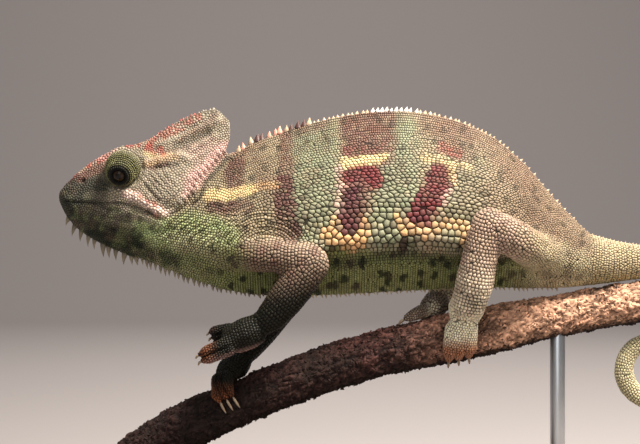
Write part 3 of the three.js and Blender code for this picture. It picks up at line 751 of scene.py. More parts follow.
def trunkColours(x, z, wobble):
    colours = np.tile(linear("neck"), (len(x), 1))
    colours = mixed(colours, "tan", smoothStep(118, 130, z) * 0.7)
    colours = mixed(colours, "rump", smoothStep(40, 52, x) * 0.6)
    wx, wz = x + wobble[:, 0] * 0.5, z + wobble[:, 1] * 0.4
    flecks = 0.4 * smoothStep(0.1, 0.5, planeNoise(x * 0.75, z * 0.75, 31))
    for mark in flankMarks:
        colours = stroke(colours, wx, wz, mark, flecks * (mark[3] > 0.8))
    height = z + 0.05 * (x - 10) + wobble[:, 1] * 0.8
    belly = 1 - smoothStep(flank["edge"] - 3.4, flank["edge"] - 0.6, height)
    belly *= smoothStep(-62, -40, x) * (1 - 0.8 * smoothStep(42, 56, x))
    colours = mixed(colours, "belly", belly * 0.9)
    colours = mixed(colours, "bellySpot", spots(wx, wz * 0.75, 4.2, 1.1, 1.7) * belly * 0.9)
    colours = mixed(colours, "spot", spots(wx, wz, 6.2, 1.1, 5.1) * (1 - belly) * 0.55)
    return mixed(colours, "mottleAndShade", smoothStep(0.15, 0.7, planeNoise(x * 0.3, z * 0.3, 37)) * 0.3)


def headColours(x, z, wobble):
    colours = np.tile(linear("cheek"), (len(x), 1))
    wx, wz = x + wobble[:, 0] * 0.5, z + wobble[:, 1] * 0.5
    flecks = 0.8 * smoothStep(-0.15, 0.3, planeNoise(x * 0.8, z * 0.8, 33))
    for mark in headMarks:
        colours = stroke(colours, wx, wz, mark, flecks * (mark[0] in ("red", "dark")))
    grime = smoothStep(0.1, 0.7, planeNoise(x * 0.5 + 3, z * 0.5, 35))
    colours = mixed(colours, "mottleAndShade", grime * 0.3)
    jaw = 1 - smoothStep(100, 109, z)
    patches = smoothStep(0, 0.6, planeNoise(x * 0.6, z * 0.6, 52))
    colours = mixed(colours, "throatGreen", patches * jaw * 0.32)
    return mixed(colours, "gloom", spots(wx, wz, 4.4, 1.0, 7.7) * jaw * 0.5)


def turretColours(places):
    colours = np.tile(linear("turret"), (len(places), 1))
    for _, onSide, _, angle in lidAngles(places):
        # Painted shade in the grooves between the lids' rings, then darker lids towards the opening, partly
        # their own dark olive and partly painted shadow of the hollow, and near black at the opening as
        # painted shadow.
        groove = lidRings(angle) ** 2 * (1 - smoothStep(1.4, 1.7, angle))
        colours = mixed(colours, "lid", onSide * groove * 0.6)
        colours = mixed(colours, "lid", onSide * (1 - smoothStep(0.52, 0.76, angle)) * 0.85)
        colours = mixed(colours, "gloom", onSide * (1 - smoothStep(0.4, 0.66, angle)) * 0.9)
        colours = mixed(colours, "cheek", onSide * smoothStep(1.2, 1.6, angle) * 0.35)
    return colours


def limbColours(x, z, wobble):
    front = 1 - smoothStep(-14, -8, x)
    colours = mixed(np.tile(linear("limb"), (len(x), 1)), "arm", front)
    # The lower hind legs grow pale towards the feet, partly their own colour and partly painted light.
    colours = mixed(colours, "hindFoot", (1 - smoothStep(64, 92, z)) * 0.75 * (x > 0))
    colours = mixed(colours, "tailShade", smoothStep(40, 56, x) * 0.5)
    # Painted shade on the underside of the upper arm.
    under = 1 - smoothStep(83, 92, z + 0.35 * (x + 25) + wobble[:, 1])
    colours = mixed(colours, "mottleAndShade", front * under * 0.85)
    colours = mixed(colours, "brown", spots(x, z, 5.4, 1.5, 2.2) * (0.25 + 0.35 * front))
    # The forearm and hand near black, as painted shade.
    colours = mixed(colours, "hand", front * (1 - smoothStep(73, 86, z - 0.2 * (x + 20))))
    patches = smoothStep(0.1, 0.6, planeNoise(x * 0.35, z * 0.35, 39))
    return mixed(colours, "mottleAndShade", patches * 0.35 * (x > 0))


def footColours(x, y, z, wobble):
    front = (x < -10).astype(float)
    # The hind feet pale, partly their own colour and partly painted light, and the front feet near black as
    # painted shade.
    colours = mixed(np.tile(linear("hindFoot"), (len(x), 1)), "hand", front)
    hindTip = (1 - front) * (1 - smoothStep(57, 61.6, z + wobble[:, 0] * 0.6))
    side = (1 - front) * smoothStep(31.6, 34.4, x) * (1 - smoothStep(60, 64, z))
    colours = mixed(colours, "toeTip", np.maximum(hindTip * 0.9, side * 0.7))
    # The far hind foot darkened, partly its own dark brown and partly painted shade.
    far = np.maximum(smoothStep(0, 3, y), 1 - smoothStep(17, 21, x))
    colours = mixed(colours, "farFoot", (1 - front) * far * 0.85)
    lifted = front * (z > 50) * (y < -6)
    pad = 1 - smoothStep(54.6, 56.6, z - 0.3 * (x + 48))
    colours = mixed(colours, "pinkFold", lifted * pad * 0.4)
    tips = lifted * (1 - smoothStep(-52, -46.4, x))
    colours = mixed(colours, "toeTip", tips * (1 - smoothStep(59.4, 61.4, z)) * 0.45)
    colours = mixed(colours, "farFoot", tips * smoothStep(59.4, 61.4, z) * 0.5)
    return mixed(colours, "toeTip", front * (1 - smoothStep(40, 48, z + wobble[:, 0])) * 0.75)


def tailColours(x, z):
    colours = np.tile(linear("tail"), (len(x), 1))
    colours = mixed(colours, "coil", 1 - smoothStep(60, 76, z))
    under = (1 - smoothStep(78, 84, z)) * (x < 98) * smoothStep(70, 78, z)
    colours = mixed(colours, "tailShade", under * 0.8)
    return mixed(colours, "tailShade", (0.5 + 0.5 * np.sin(x * 0.55 + z * 0.3)) * 0.25)


# The colour of any place on the body. Skin and scales both take theirs from here.
def bodyColours(places, weights):
    x, y, z = places.T
    swayX = np.sin(z * 0.9 + 1.3) + 0.6 * np.sin(z * 2.3 + x * 0.7)
    swayZ = np.sin(x * 0.8) + 0.6 * np.sin(x * 2.1 + z)
    wobble = np.stack([swayX, swayZ], axis=1) * 0.6
    trunk, foot = trunkColours(x, z, wobble), footColours(x, y, z, wobble)
    painted = {
        "head": headColours(x, z, wobble), "turret": turretColours(places), "neck": trunk, "trunk": trunk,
        "tail": tailColours(x, z), "limb": limbColours(x, z, wobble), "foot": foot, "toe": foot}
    total = sum(weights[region] for region in regions)
    colours = sum(painted[region] * (weights[region] / total)[:, None] for region in regions)
    lump = np.sin(x * 1.7 + z * 0.6) * np.sin(z * 1.9 - x * 0.4) * 0.05
    return colours * (1 + lump)[:, None]


def paintPoints(piece, colours):
    attribute = piece.data.color_attributes.new("pattern", "FLOAT_COLOR", "POINT")
    values = np.ones((len(colours), 4), np.float32)
    values[:, :3] = np.clip(colours, 0, 1)
    attribute.data.foreach_set("color", values.ravel())


skinPlaces = vertexArray(skin) / mm
skinNode, regionIndex, masks = findRegions(6)
# The limbs' roots take the trunk's colours and scales.
rootFade = np.zeros(len(skinPlaces))
for along, reach, own in limbReaches(skinPlaces, skinNode):
    rootFade = np.maximum(rootFade, (1 - smoothStep(reach * 0.4, reach * 1.15, along)) * own)
rootFade = spread(skin, rootFade, 10)
masks["trunk"] = masks["trunk"] + masks["limb"] * rootFade
masks["limb"] = masks["limb"] * (1 - rootFade)


# The markings, with painted shade down in the folds and painted light on top of them.
def coatColours(places, normals, weights, nodeOfPlace):
    folds = np.clip(foldRelief(places, normals, weights, nodeOfPlace), -1, 0.7)
    shade = 1 + np.where(folds < 0, 0.7, 0.25) * folds * (1 - weights["turret"])
    return bodyColours(places, weights) * shade[:, None]


# The skin shows only between the scales, so it is dark.
skinShade = 0.16 + 0.2 * masks["head"]
skinColours = coatColours(skinPlaces, vertexArray(skin, "normal"), masks, skinNode)
paintPoints(skin, skinColours * skinShade[:, None])
report("skin painted")

# ---- Scales ----
# By region: how far apart the scales lie in millimetres, their height for their size, how firmly they keep
# to rows, and the shade between them.
scaleKinds = {
    "head": (0.76, 0.22, 0, 0.36), "turret": (0.62, 0.26, 0, 0.28), "neck": (0.82, 0.28, 0.35, 0.26),
    "trunk": (1.0, 0.26, 0.55, 0.12), "tail": (0.84, 0.24, 0.9, 0.2), "limb": (1.08, 0.32, 0.75, 0.16),
    "foot": (0.92, 0.3, 0.5, 0.16), "toe": (0.78, 0.28, 0.3, 0.2),
}
scaleSettings = {
    "candidates": 12, "relaxSteps": 16, "groove": 0.026, "sink": 0.14, "seed": 7, "tallest": 0.5,
    "steps": 6,  # directions tried for each corner of a scale
    "widest": 0.88, "ringGap": 0.24,
    "stretch": 0.75,  # how much longer than tall the middle flank's scales are
    "bellyRow": 0.8, "shoulderRow": 0.95,
    "patch": 0.0015,  # half the width of a scale's place on the map
    "unevenHeight": 0.14, "unevenShade": 0.11, "unevenHue": 0.02,
    "topShade": 1.08,
    # each inner ring: its share of the outline, of the height and of the lean, and its shade
    "lowDome": [(0.82, 0.66, 0.4, 0.9)],
    "fullDome": [(0.88, 0.5, 0.2, 0.74), (0.68, 0.88, 0.6, 1.0)],
}
# The flank from the back (0) to the belly (1), and how far apart its scales lie.
flankSpacing = ([0, 0.22, 0.34, 0.45, 0.54, 0.62, 0.69, 0.74, 0.8, 1],
                [0.78, 0.81, 0.9, 1.06, 1.42, 2.0, 2.3, 1.8, 0.88, 0.8])


# One column of the kinds of scales, for the region that each place lies in.
def kindColumn(column, region):
    return np.array([scaleKinds[name][column] for name in regions])[region]


# The body's upper and lower edge along its length, read from the skin.
def bodyEdges():
    body = (masks["trunk"] + masks["neck"] + masks["head"] > 0.5) & (np.abs(skinPlaces[:, 1]) < 13)
    x, z = skinPlaces[body, 0], skinPlaces[body, 2]
    steps = np.linspace(x.min() + 1, x.max() - 1, 48)
    reach = (steps[1] - steps[0]) * 0.8
    tops = np.array([z[np.abs(x - step) < reach].max() for step in steps])
    bellies = np.array([z[np.abs(x - step) < reach].min() for step in steps])
    return steps, tops, bellies


def flankShare(x, z):
    top, belly = np.interp(x, bodyLine[0], bodyLine[1]), np.interp(x, bodyLine[0], bodyLine[2])
    return np.clip((top - z) / np.maximum(top - belly, 1), 0, 1), top - belly


def trunkSpacing(x, z):
    share, tall = flankShare(x, z)
    plain = scaleKinds["trunk"][0] * 0.9
    middle = smoothStep(-44, -28, x) * (1 - smoothStep(28, 46, x))
    spacing = plain + (np.interp(share, *flankSpacing) - plain) * middle
    spacing *= np.clip(tall / 60, 0.75, 1)
    fine = 1 - smoothStep(shoulderFolds["to"] - 7, shoulderFolds["to"] + 2, shoulderDistance(x, z))
    return spacing + (np.minimum(spacing, 0.92) - spacing) * fine


# How much longer than tall the scales are: most in the middle of the flank.
def scaleStretch(places):
    x, z = places[:, 0], places[:, 2]
    share = flankShare(x, z)[0]
    band = smoothStep(0.12, 0.28, share) * (1 - smoothStep(0.5, 0.62, share))
    band *= smoothStep(-38, -24, x) * (1 - smoothStep(36, 52, x)) * masks["trunk"]
    return 1 + scaleSettings["stretch"] * band


# How far apart the scales lie at each place.
def scaleSpacing(places, weights):
    x, z = places[:, 0], places[:, 2]
    total = sum(weights[region] for region in regions)
    spacing = sum(scaleKinds[region][0] * weights[region] for region in regions) / total
    spacing += (trunkSpacing(x, z) - scaleKinds["trunk"][0]) * weights["trunk"] / total
    head = weights["head"] / total
    crest = bell(pathDistance(x, z, [(-90, 115.2), (-77, 122), (-62, 127), (-50, 133)])[0], 1.4)
    cheek = bell(np.hypot(x + 61, z - 111), 6)
    lip = bell(pathDistance(x, z, [(-82, 106.8), (-76.8, 106.4), (-70.4, 103.2), (-63.6, 99.6)])[0], 1.3)
    return spacing + head * (0.22 * crest + 0.16 * cheek + 0.25 * lip)


# A smooth line through stations of place and radius, with its length at each point.
def smoothLine(stations, steps=16):
    stations = np.array(stations, float)
    ends = np.concatenate([[2 * stations[0] - stations[1]], stations, [2 * stations[-1] - stations[-2]]])
    t = np.linspace(0, 1, steps, endpoint=False)[:, None]
    pieces = [
        0.5 * (2 * b + (c - a) * t + (2 * a - 5 * b + 4 * c - d) * t ** 2
               + (3 * b - a - 3 * c + d) * t ** 3)
        for a, b, c, d in zip(ends, ends[1:], ends[2:], ends[3:])]
    line = np.concatenate(pieces + [stations[-1:]])
    lengths = np.concatenate([[0], np.cumsum(np.linalg.norm(np.diff(line[:, :2], axis=0), axis=1))])
    return line, lengths


# The tail's middle line: x, z and radius, then the coil's turn in degrees, distance out and radius.
tailRun = [(69.8, 85, 8.9), (76, 84.5, 7.7), (86.4, 84.4, 6), (95, 83.9, 5.2), (102, 79.6, 4.8),
           (105.8, 71.4, 4.5), (106.2, 60.6, 4.2)]
tailCoil = {"centre": (90.2, 49.9), "turns": [
    (10, 13, 4.05), (90, 9.9, 3.85), (180, 9.2, 3.72), (270, 8.9, 3.4), (360, 5.4, 2.5), (450, 3, 1.95),
    (540, 2.7, 1.75), (630, 2.2, 1.4), (700, 1.8, 0.8)]}


def tailLine():
    turns, out, radius = (np.array(column, float) for column in zip(*tailCoil["turns"]))
    angles = np.linspace(turns[0], turns[-1], 31)
    outs, radii = np.interp(angles, turns, out), np.interp(angles, turns, radius)
    x = tailCoil["centre"][0] + outs * np.cos(np.radians(angles))
    z = tailCoil["centre"][1] - outs * np.sin(np.radians(angles))
    return smoothLine(tailRun + list(zip(x, z, radii)), 10)


def tailRows(places):
    line, lengths = tailLine()
    way = np.gradient(line[:, :2], axis=0)
    way /= np.linalg.norm(way, axis=1)[:, None]
    rows = np.zeros(len(places))
    for start in range(0, len(places), 4000):
        flat = places[start:start + 4000][:, [0, 2]]
        away = flat[:, None] - line[None, :, :2]
        nearest = (np.linalg.norm(away, axis=2) / line[:, 2]).argmin(1)
        rest = away[np.arange(len(flat)), nearest]
        rows[start:start + 4000] = lengths[nearest] + (rest * way[nearest]).sum(1)
    return rows / scaleKinds["tail"][0]


# The rows of the trunk are counted down from the back.
def trunkRows(places):
    x, z = places[:, 0], places[:, 2]
    steps, shares = bodyLine[0], np.linspace(0, 1, 90)
    tall = bodyLine[1] - bodyLine[2]
    heights = bodyLine[1][:, None] - shares[None] * tall[:, None]
    spacing = trunkSpacing(np.repeat(steps, len(shares)), heights.ravel()).reshape(heights.shape)
    rows = np.cumsum(tall[:, None] / (len(shares) - 1) / spacing, axis=1)
    share = flankShare(x, z)[0] * (len(shares) - 1)
    column = np.clip(np.interp(x, steps, np.arange(len(steps))), 0, len(steps) - 1.001)
    row = np.clip(share, 0, len(shares) - 1.001)
    i, j = column.astype(int), row.astype(int)
    u, v = column - i, row - j
    low = rows[i, j] * (1 - v) + rows[i, j + 1] * v
    high = rows[i + 1, j] * (1 - v) + rows[i + 1, j + 1] * v
    return low * (1 - u) + high * u + 0.5 * planeNoise(x * 0.11, z * 0.16, 41)


# A limb's rows are counted along the long axis of its node, downwards.
def limbRows(places, nodeName):
    solid = vertexArray(cadNodes[nodeName]) / mm
    centre = solid.mean(0)
    axis = np.linalg.svd(solid - centre, full_matrices=False)[2][0]
    axis *= -1 if axis[2] > 0 else 1
    return (places - centre) @ axis / scaleKinds[regionOf(nodeName)][0]


# The row number of each skin vertex, the way it rises, and how firmly scales keep to the rows there.
def findRows():
    x, z = skinPlaces[:, 0], skinPlaces[:, 2]
    rows = trunkRows(skinPlaces)
    for index, name in enumerate(fleshNodes):
        if regionOf(name) in ("limb", "foot", "toe"):
            chosen = skinNode == index
            rows[chosen] = limbRows(skinPlaces[chosen], name)
    tail = regionIndex == regions.index("tail")
    rows[tail] = tailRows(skinPlaces[tail])
    trunk = regionIndex == regions.index("trunk")
    under = trunk & (flankShare(x, z)[0] > 0.84) & (x > -44) & (x < 48)
    rows[under] = x[under] / scaleSettings["bellyRow"]
    shoulder = shoulderDistance(x, z)
    ringed = trunk | (regionIndex == regions.index("neck"))
    ringed &= (shoulder < shoulderFolds["to"] - 2) & (z > 88)
    rows[ringed] = shoulder[ringed] / scaleSettings["shoulderRow"]
    a, b = edgeEnds(skin)
    way = skinPlaces[b] - skinPlaces[a]
    step = rows[b] - rows[a]
    way = way * (step / np.maximum((way ** 2).sum(1), 1e-9))[:, None]
    way[np.abs(step) > 2] = 0
    size = len(rows)
    count = np.maximum(np.bincount(a, minlength=size) + np.bincount(b, minlength=size), 1)
    rise = np.stack([np.bincount(a, part, size) + np.bincount(b, part, size) for part in way.T], axis=1)
    rise *= (2 / count)[:, None]
    bold = smoothStep(1.5, 2.1, spacingAtSkin)
    return rows, rise, kindColumn(2, regionIndex) * (1 - 0.85 * bold) + 0.3 * (stretchAtSkin - 1)


class SkinSurface:
    def __init__(self, piece):
        mesh = piece.data
        self.places = vertexArray(piece) / mm
        self.normals = vertexArray(piece, "normal")
        faces = np.empty(len(mesh.polygons) * 3, np.int32)
        mesh.polygons.foreach_get("vertices", faces)
        self.faces = faces.reshape(-1, 3)
        uv = np.empty(len(faces) * 2, np.float32)
        mesh.uv_layers.active.uv.foreach_get("vector", uv)
        self.uv = uv.reshape(-1, 3, 2)
        self.tree = BVHTree.FromPolygons(self.places.tolist(), self.faces.tolist())

    def project(self, points):
        hits = [self.tree.find_nearest(point) for point in points.tolist()]
        return np.array([hit[0][:] for hit in hits]), np.array([hit[2] for hit in hits])

    # Each point's shares of its face's three corners.
    def shares(self, points, face):
        a, b, c = (self.places[self.faces[face, k]] for k in range(3))
        u, v, w = b - a, c - a, points - a
        uu, uv, vv = (u * u).sum(1), (u * v).sum(1), (v * v).sum(1)
        wu, wv = (w * u).sum(1), (w * v).sum(1)
        below = np.maximum(uu * vv - uv * uv, 1e-12)
        second = np.clip((vv * wu - uv * wv) / below, 0, 1)
        third = np.clip((uu * wv - uv * wu) / below, 0, 1 - second)
        return np.stack([1 - second - third, second, third], axis=1)

    def blend(self, values, face, share):
        if values.ndim == 1:
            return sum(values[self.faces[face, k]] * share[:, k] for k in range(3))
        return sum(values[self.faces[face, k]] * share[:, k, None] for k in range(3))


def pointTree(points):
    tree = kdtree.KDTree(len(points))
    for index, point in enumerate(points.tolist()):
        tree.insert(point, index)
    tree.balance()
    return tree


# Scatters points so that each keeps its own distance.
def scatterPoints(surface, spacing):
    rng = np.random.default_rng(scaleSettings["seed"])
    a, b, c = (surface.places[surface.faces[:, k]] for k in range(3))
    area = 0.5 * np.linalg.norm(np.cross(b - a, c - a), axis=1)
    wanted = area / (0.866 * spacing[surface.faces].mean(1) ** 2)
    count = int(wanted.sum() * scaleSettings["candidates"])
    face = rng.choice(len(wanted), count, p=wanted / wanted.sum())
    r1, r2 = np.sqrt(rng.random(count)), rng.random(count)
    share = np.stack([1 - r1, r1 * (1 - r2), r1 * r2], axis=1)
    points = surface.blend(surface.places, face, share)
    apart = surface.blend(spacing, face, share) * 0.8
    tree = pointTree(points)
    taken, kept = bytearray(count), []
    for index, (point, reach) in enumerate(zip(points.tolist(), apart.tolist())):
        if not taken[index]:
            kept.append(index)
            for _, other, _ in tree.find_range(point, reach):
                taken[other] = 1
    return points[kept]


# The lids' scales lie in rings round each opening.
def turretPoints():
    points = []
    height = turret["radius"] + turret["coatHeight"]
    for _, centre, look in turretFrames():
        across = np.cross(look, [0, 0, 1])
        across /= np.linalg.norm(across)
        up = np.cross(across, look)
        for ring in range(turret["rings"]):
            angle = turret["firstRing"] + (ring + 0.5) * turret["ringStep"]
            length = 2 * math.pi * turret["radius"] * math.sin(angle)
            around = max(int(length / scaleKinds["turret"][0]), 6)
            for step in range(around):
                turn = 2 * math.pi * (step + 0.5 * (ring % 2)) / around
                out = across * math.cos(turn) + up * math.sin(turn)
                points.append(centre + (look * math.cos(angle) + out * math.sin(angle)) * height)
    return np.array(points)


def nearTurret(points, reach):
    found = np.zeros(len(points), bool)
    for _, onSide, distance, angle in lidAngles(points):
        found |= onSide & (distance < turret["radius"] + turret["coatReach"]) & (angle < reach)
    return found


def neighbours(points, count):
    tree = pointTree(points)
    return np.array([[hit[1] for hit in tree.find_n(point, count + 1)][1:] for point in points.tolist()])


# The points push each other even and slide towards the nearest row. Those marked as held stay.
def relaxPoints(surface, points, held, spacing, stretch, rows, rise, pull):
    points, face = surface.project(points)
    for step in range(scaleSettings["relaxSteps"]):
        share = surface.shares(points, face)
        apart = surface.blend(spacing, face, share)
        level = np.cross(surface.blend(rise, face, share), surface.blend(surface.normals, face, share))
        level /= np.maximum(np.linalg.norm(level, axis=1), 1e-6)[:, None]
        squeeze = 1 - 1 / surface.blend(stretch, face, share) ** 2
        near = neighbours(points, 8)
        away = points[:, None] - points[near]
        distance = (away ** 2).sum(2) - squeeze[:, None] * (away * level[:, None]).sum(2) ** 2
        distance = np.sqrt(np.maximum(distance, 1e-10))
        reach = 0.5 * (apart[:, None] + apart[near]) * 1.1
        push = np.clip(1 - distance / reach, 0, 1) * reach * 0.4
        move = (away / distance[:, :, None] * push[:, :, None]).sum(1)
        number, slope = surface.blend(rows, face, share), surface.blend(rise, face, share)
        steep = np.maximum((slope ** 2).sum(1), 0.05)
        slide = slope * ((np.round(number) - number) / steep)[:, None]
        slide *= (surface.blend(pull, face, share) * min(1, step / 4))[:, None]
        length = np.linalg.norm(slide, axis=1)
        slide *= np.minimum(1, 0.4 * apart / np.maximum(length, 1e-6))[:, None]
        points = np.where(held[:, None], points, points + move + slide)
        points, face = surface.project(points)
    return points, face


bodyLine = bodyEdges()
surface = SkinSurface(skin)
spacingAtSkin = scaleSpacing(skinPlaces, masks)
stretchAtSkin = scaleStretch(skinPlaces)
rowNumber, rowRise, rowPull = findRows()
report("rows found")
scalePoints = scatterPoints(surface, spacingAtSkin * np.sqrt(stretchAtSkin))
lidReach = turret["firstRing"] + turret["rings"] * turret["ringStep"]
lidPoints = surface.project(turretPoints())[0]
lidPoints = lidPoints[nearTurret(lidPoints, lidReach)]
scalePoints = np.concatenate([scalePoints[~nearTurret(scalePoints, lidReach)], lidPoints])
held = np.arange(len(scalePoints)) >= len(scalePoints) - len(lidPoints)
report(f"{len(scalePoints)} scales scattered")
scalePoints, scaleFace = relaxPoints(
    surface, scalePoints, held, spacingAtSkin, stretchAtSkin, rowNumber, rowRise, rowPull)
report("scales relaxed")


# The way that each scale points: towards the tail, down the limbs, and out from the middle of each turret.
def coatDirection(points, normals, region, rise):
    towards = np.tile([1.0, 0.0, -0.12], (len(points), 1))
    rowed = np.isin(region, [regions.index(part) for part in ("limb", "foot", "toe", "tail")])
    towards[rowed] = rise[rowed]
    for side, centre, look in turretFrames():
        near = np.linalg.norm(points - centre, axis=1) < turret["radius"] + turret["coatReach"]
        near &= points[:, 1] * side > 0
        towards[near] = (points - centre - look * 9)[near]
    along = towards - (towards * normals).sum(1)[:, None] * normals
    weak = np.linalg.norm(along, axis=1) < 0.05
    along[weak] = np.cross(normals[weak], [0, 1, 0]) + 1e-3
    return along / np.linalg.norm(along, axis=1)[:, None]


# The outline of each scale: the corners of the cell that it shares with its neighbours, less the groove.
# In the cell's own measure, lengths along the scale are shrunk by its stretch.
def scaleOutlines(chosen, corners):
    near, size, stretch = scaleNear[chosen], scaleSize[chosen][:, None], scaleLong[chosen][:, None]
    offset = scalePoints[near] - scalePoints[chosen][:, None]
    dx = (offset * scaleAlong[chosen][:, None]).sum(2) / stretch
    dy = (offset * scaleAcross[chosen][:, None]).sum(2)
    distance = np.maximum(np.hypot(dx, dy), 1e-6)
    share = size / (size + scaleSize[near]) * distance
    steps = scaleSettings["steps"]
    reach = np.empty((len(chosen), corners * steps))
    for index in range(corners * steps):
        angle = 2 * math.pi * index / (corners * steps)
        facing = (dx * math.cos(angle) + dy * math.sin(angle)) / distance
        reach[:, index] = np.where(facing > 0.12, share / np.maximum(facing, 0.12), np.inf).min(1)
    reach = np.minimum(reach, size * scaleSettings["widest"]).reshape(-1, corners, steps)
    best = reach.argmax(2)
    angle = (np.arange(corners) * steps + best) * 2 * math.pi / (corners * steps)
    reach = np.take_along_axis(reach, best[:, :, None], 2)[:, :, 0]
    reach = np.maximum(reach - size * scaleSettings["groove"] - 0.01, size * 0.22)
    reach *= 1 - scaleSettings["ringGap"] * scaleMasks["turret"][chosen][:, None] * np.abs(np.cos(angle))
    return reach * stretch * np.cos(angle), reach * np.sin(angle), angle


# The faces of one scale: its underside, the bands between its rings, and the fan round its top.
def scaleFaces(corners, rings):
    faces = [tuple(reversed(range(corners)))]
    for ring in range(rings - 1):
        for corner in range(corners):
            here, after = ring * corners + corner, ring * corners + (corner + 1) % corners
            faces.append((here, after, after + corners, here + corners))
    last, top = (rings - 1) * corners, rings * corners
    return faces + [(last + corner, last + (corner + 1) % corners, top) for corner in range(corners)]


# A mesh in which every block of places carries the same faces.
def repeatedMesh(name, places, faces, block):
    count = len(places) // block
    sizes = np.array([len(face) for face in faces])
    loops = (np.concatenate(faces)[None] + np.arange(count)[:, None] * block).ravel()
    mesh = bpy.data.meshes.new(name)
    mesh.vertices.add(len(places))
    mesh.vertices.foreach_set("co", (places * mm).astype(np.float32).ravel())
    mesh.loops.add(len(loops))
    mesh.loops.foreach_set("vertex_index", loops.astype(np.int32))
    mesh.polygons.add(count * len(faces))
    starts = np.concatenate([[0], np.cumsum(np.tile(sizes, count))[:-1]])
    mesh.polygons.foreach_set("loop_start", starts.astype(np.int32))
    mesh.polygons.foreach_set("loop_total", np.tile(sizes, count).astype(np.int32))
    mesh.update(calc_edges=True)
    return mesh


# One piece of scales, each a closed low dome. The outline is carried over the skin, so domes bend with it.
def buildScales(name, chosen, corners, dome):
    points, normals, size = scalePoints[chosen], scaleNormals[chosen], scaleSize[chosen]
    along, across = scaleAlong[chosen], scaleAcross[chosen]
    reachAlong, reachAcross, angles = scaleOutlines(chosen, corners)
    count = len(points)
    rng = np.random.default_rng(scaleSettings["seed"] + count)
    edge = points[:, None] + along[:, None] * reachAlong[:, :, None]
    edge += across[:, None] * reachAcross[:, :, None]
    edge = surface.project(edge.reshape(-1, 3))[0].reshape(count, corners, 3)
    uneven = 1 + scaleSettings["unevenHeight"] * rng.standard_normal(count)
    height = np.clip(scaleHeight[chosen] * uneven, 0.05, scaleSettings["tallest"])
    lean = along * (size * 0.1)[:, None]
    up = normals * height[:, None]
    rings = [edge - normals[:, None] * scaleSettings["sink"]]
    for share, rise, push, _ in dome:
        raised = up * rise + lean * push
        rings.append(points[:, None] + (edge - points[:, None]) * share + raised[:, None])
    places = np.concatenate(rings + [(points + up + lean)[:, None]], axis=1).reshape(-1, 3)
    faces = scaleFaces(corners, len(rings))
    mesh = repeatedMesh(name, places, faces, corners * len(rings) + 1)
    turn = np.stack([np.cos(angles), np.sin(angles)], 2)
    swing = [turn * share for share in [1.0] + [ring[0] for ring in dome]] + [np.zeros((count, 1, 2))]
    patch = np.concatenate(swing, axis=1) * scaleSettings["patch"]
    uv = scaleUv[chosen][:, None] + patch[:, np.concatenate(faces)]
    mesh.uv_layers.new(name="OFBake").uv.foreach_set("vector", uv.astype(np.float32).ravel())
    piece = newPiece(name, mesh)
    shade = np.append(np.repeat([0.0] + [ring[3] for ring in dome], corners), scaleSettings["topShade"])
    shade = np.tile(shade, (count, 1))
    shade[:, :corners] = scaleGap[chosen, None]
    tint = 1 + scaleSettings["unevenShade"] * rng.standard_normal((count, 1))
    tint = tint + scaleSettings["unevenHue"] * rng.standard_normal((count, 3))
    colours = scaleColours[chosen] * np.clip(tint, 0.7, 1.35)
    paintPoints(piece, (colours[:, None] * shade[:, :, None]).reshape(-1, 3))
    shadeSmooth(piece)
    return piece


scaleShare = surface.shares(scalePoints, scaleFace)
scaleNormals = surface.blend(surface.normals, scaleFace, scaleShare)
scaleNormals /= np.linalg.norm(scaleNormals, axis=1)[:, None]
scaleSize = surface.blend(spacingAtSkin, scaleFace, scaleShare)
scaleLong = surface.blend(stretchAtSkin, scaleFace, scaleShare)
scaleMasks = {region: surface.blend(masks[region], scaleFace, scaleShare) for region in regions}
scaleColours = coatColours(scalePoints, scaleNormals, scaleMasks, skinNode[surface.faces[scaleFace, 0]])
scaleUv = sum(surface.uv[scaleFace, k] * scaleShare[:, k, None] for k in range(3))
scaleRegion = regionIndex[surface.faces[scaleFace, 0]]
scaleAlong = coatDirection(
    scalePoints, scaleNormals, scaleRegion, surface.blend(rowRise, scaleFace, scaleShare))
scaleAcross = np.cross(scaleNormals, scaleAlong)
scaleNear = neighbours(scalePoints, 12)
scaleHeight = scaleSize * kindColumn(1, scaleRegion)
shadedHand = (scaleMasks["limb"] + scaleMasks["foot"]) * (scalePoints[:, 0] < -14)
scaleHeight *= 1 - 0.5 * shadedHand * (1 - smoothStep(70, 84, scalePoints[:, 2]))
scaleGap = kindColumn(3, scaleRegion)
covered = ~nearTurret(scalePoints, turret["opening"] + 0.04)
report("scales measured")
# By piece: regions, side, where it starts and ends along the body, corners and dome.
coatPieces = {
    "scales_head": (("head",), 0, -200, 200, 7, "lowDome"),
    "scales_turrets": (("turret",), 0, -200, 200, 7, "lowDome"),
    "scales_neck": (("neck",), 0, -200, 200, 7, "lowDome"),
    "scales_flank_left_front": (("trunk",), -1, -200, -10, 8, "fullDome"),
    "scales_flank_left_middle": (("trunk",), -1, -10, 26, 8, "fullDome"),
    "scales_flank_left_rear": (("trunk",), -1, 26, 200, 8, "fullDome"),
    "scales_flank_right_front": (("trunk",), 1, -200, -10, 8, "fullDome"),
    "scales_flank_right_middle": (("trunk",), 1, -10, 26, 8, "fullDome"),
    "scales_flank_right_rear": (("trunk",), 1, 26, 200, 8, "fullDome"),
    "scales_arms": (("limb",), 0, -200, 0, 7, "lowDome"),
    "scales_legs": (("limb",), 0, 0, 200, 7, "lowDome"),
    "scales_feet": (("foot", "toe"), 0, -200, 200, 7, "lowDome"),
    "scales_tail": (("tail",), 0, -200, 200, 7, "lowDome"),
}
coat = {}
for name, (parts, side, start, end, corners, dome) in coatPieces.items():
    chosen = covered & np.isin(scaleRegion, [regions.index(part) for part in parts])
    chosen &= (scalePoints[:, 0] >= start) & (scalePoints[:, 0] < end)
    if side:
        chosen &= (scalePoints[:, 1] < 0) == (side < 0)
    coat[name] = buildScales(name, np.flatnonzero(chosen), corners, scaleSettings[dome])


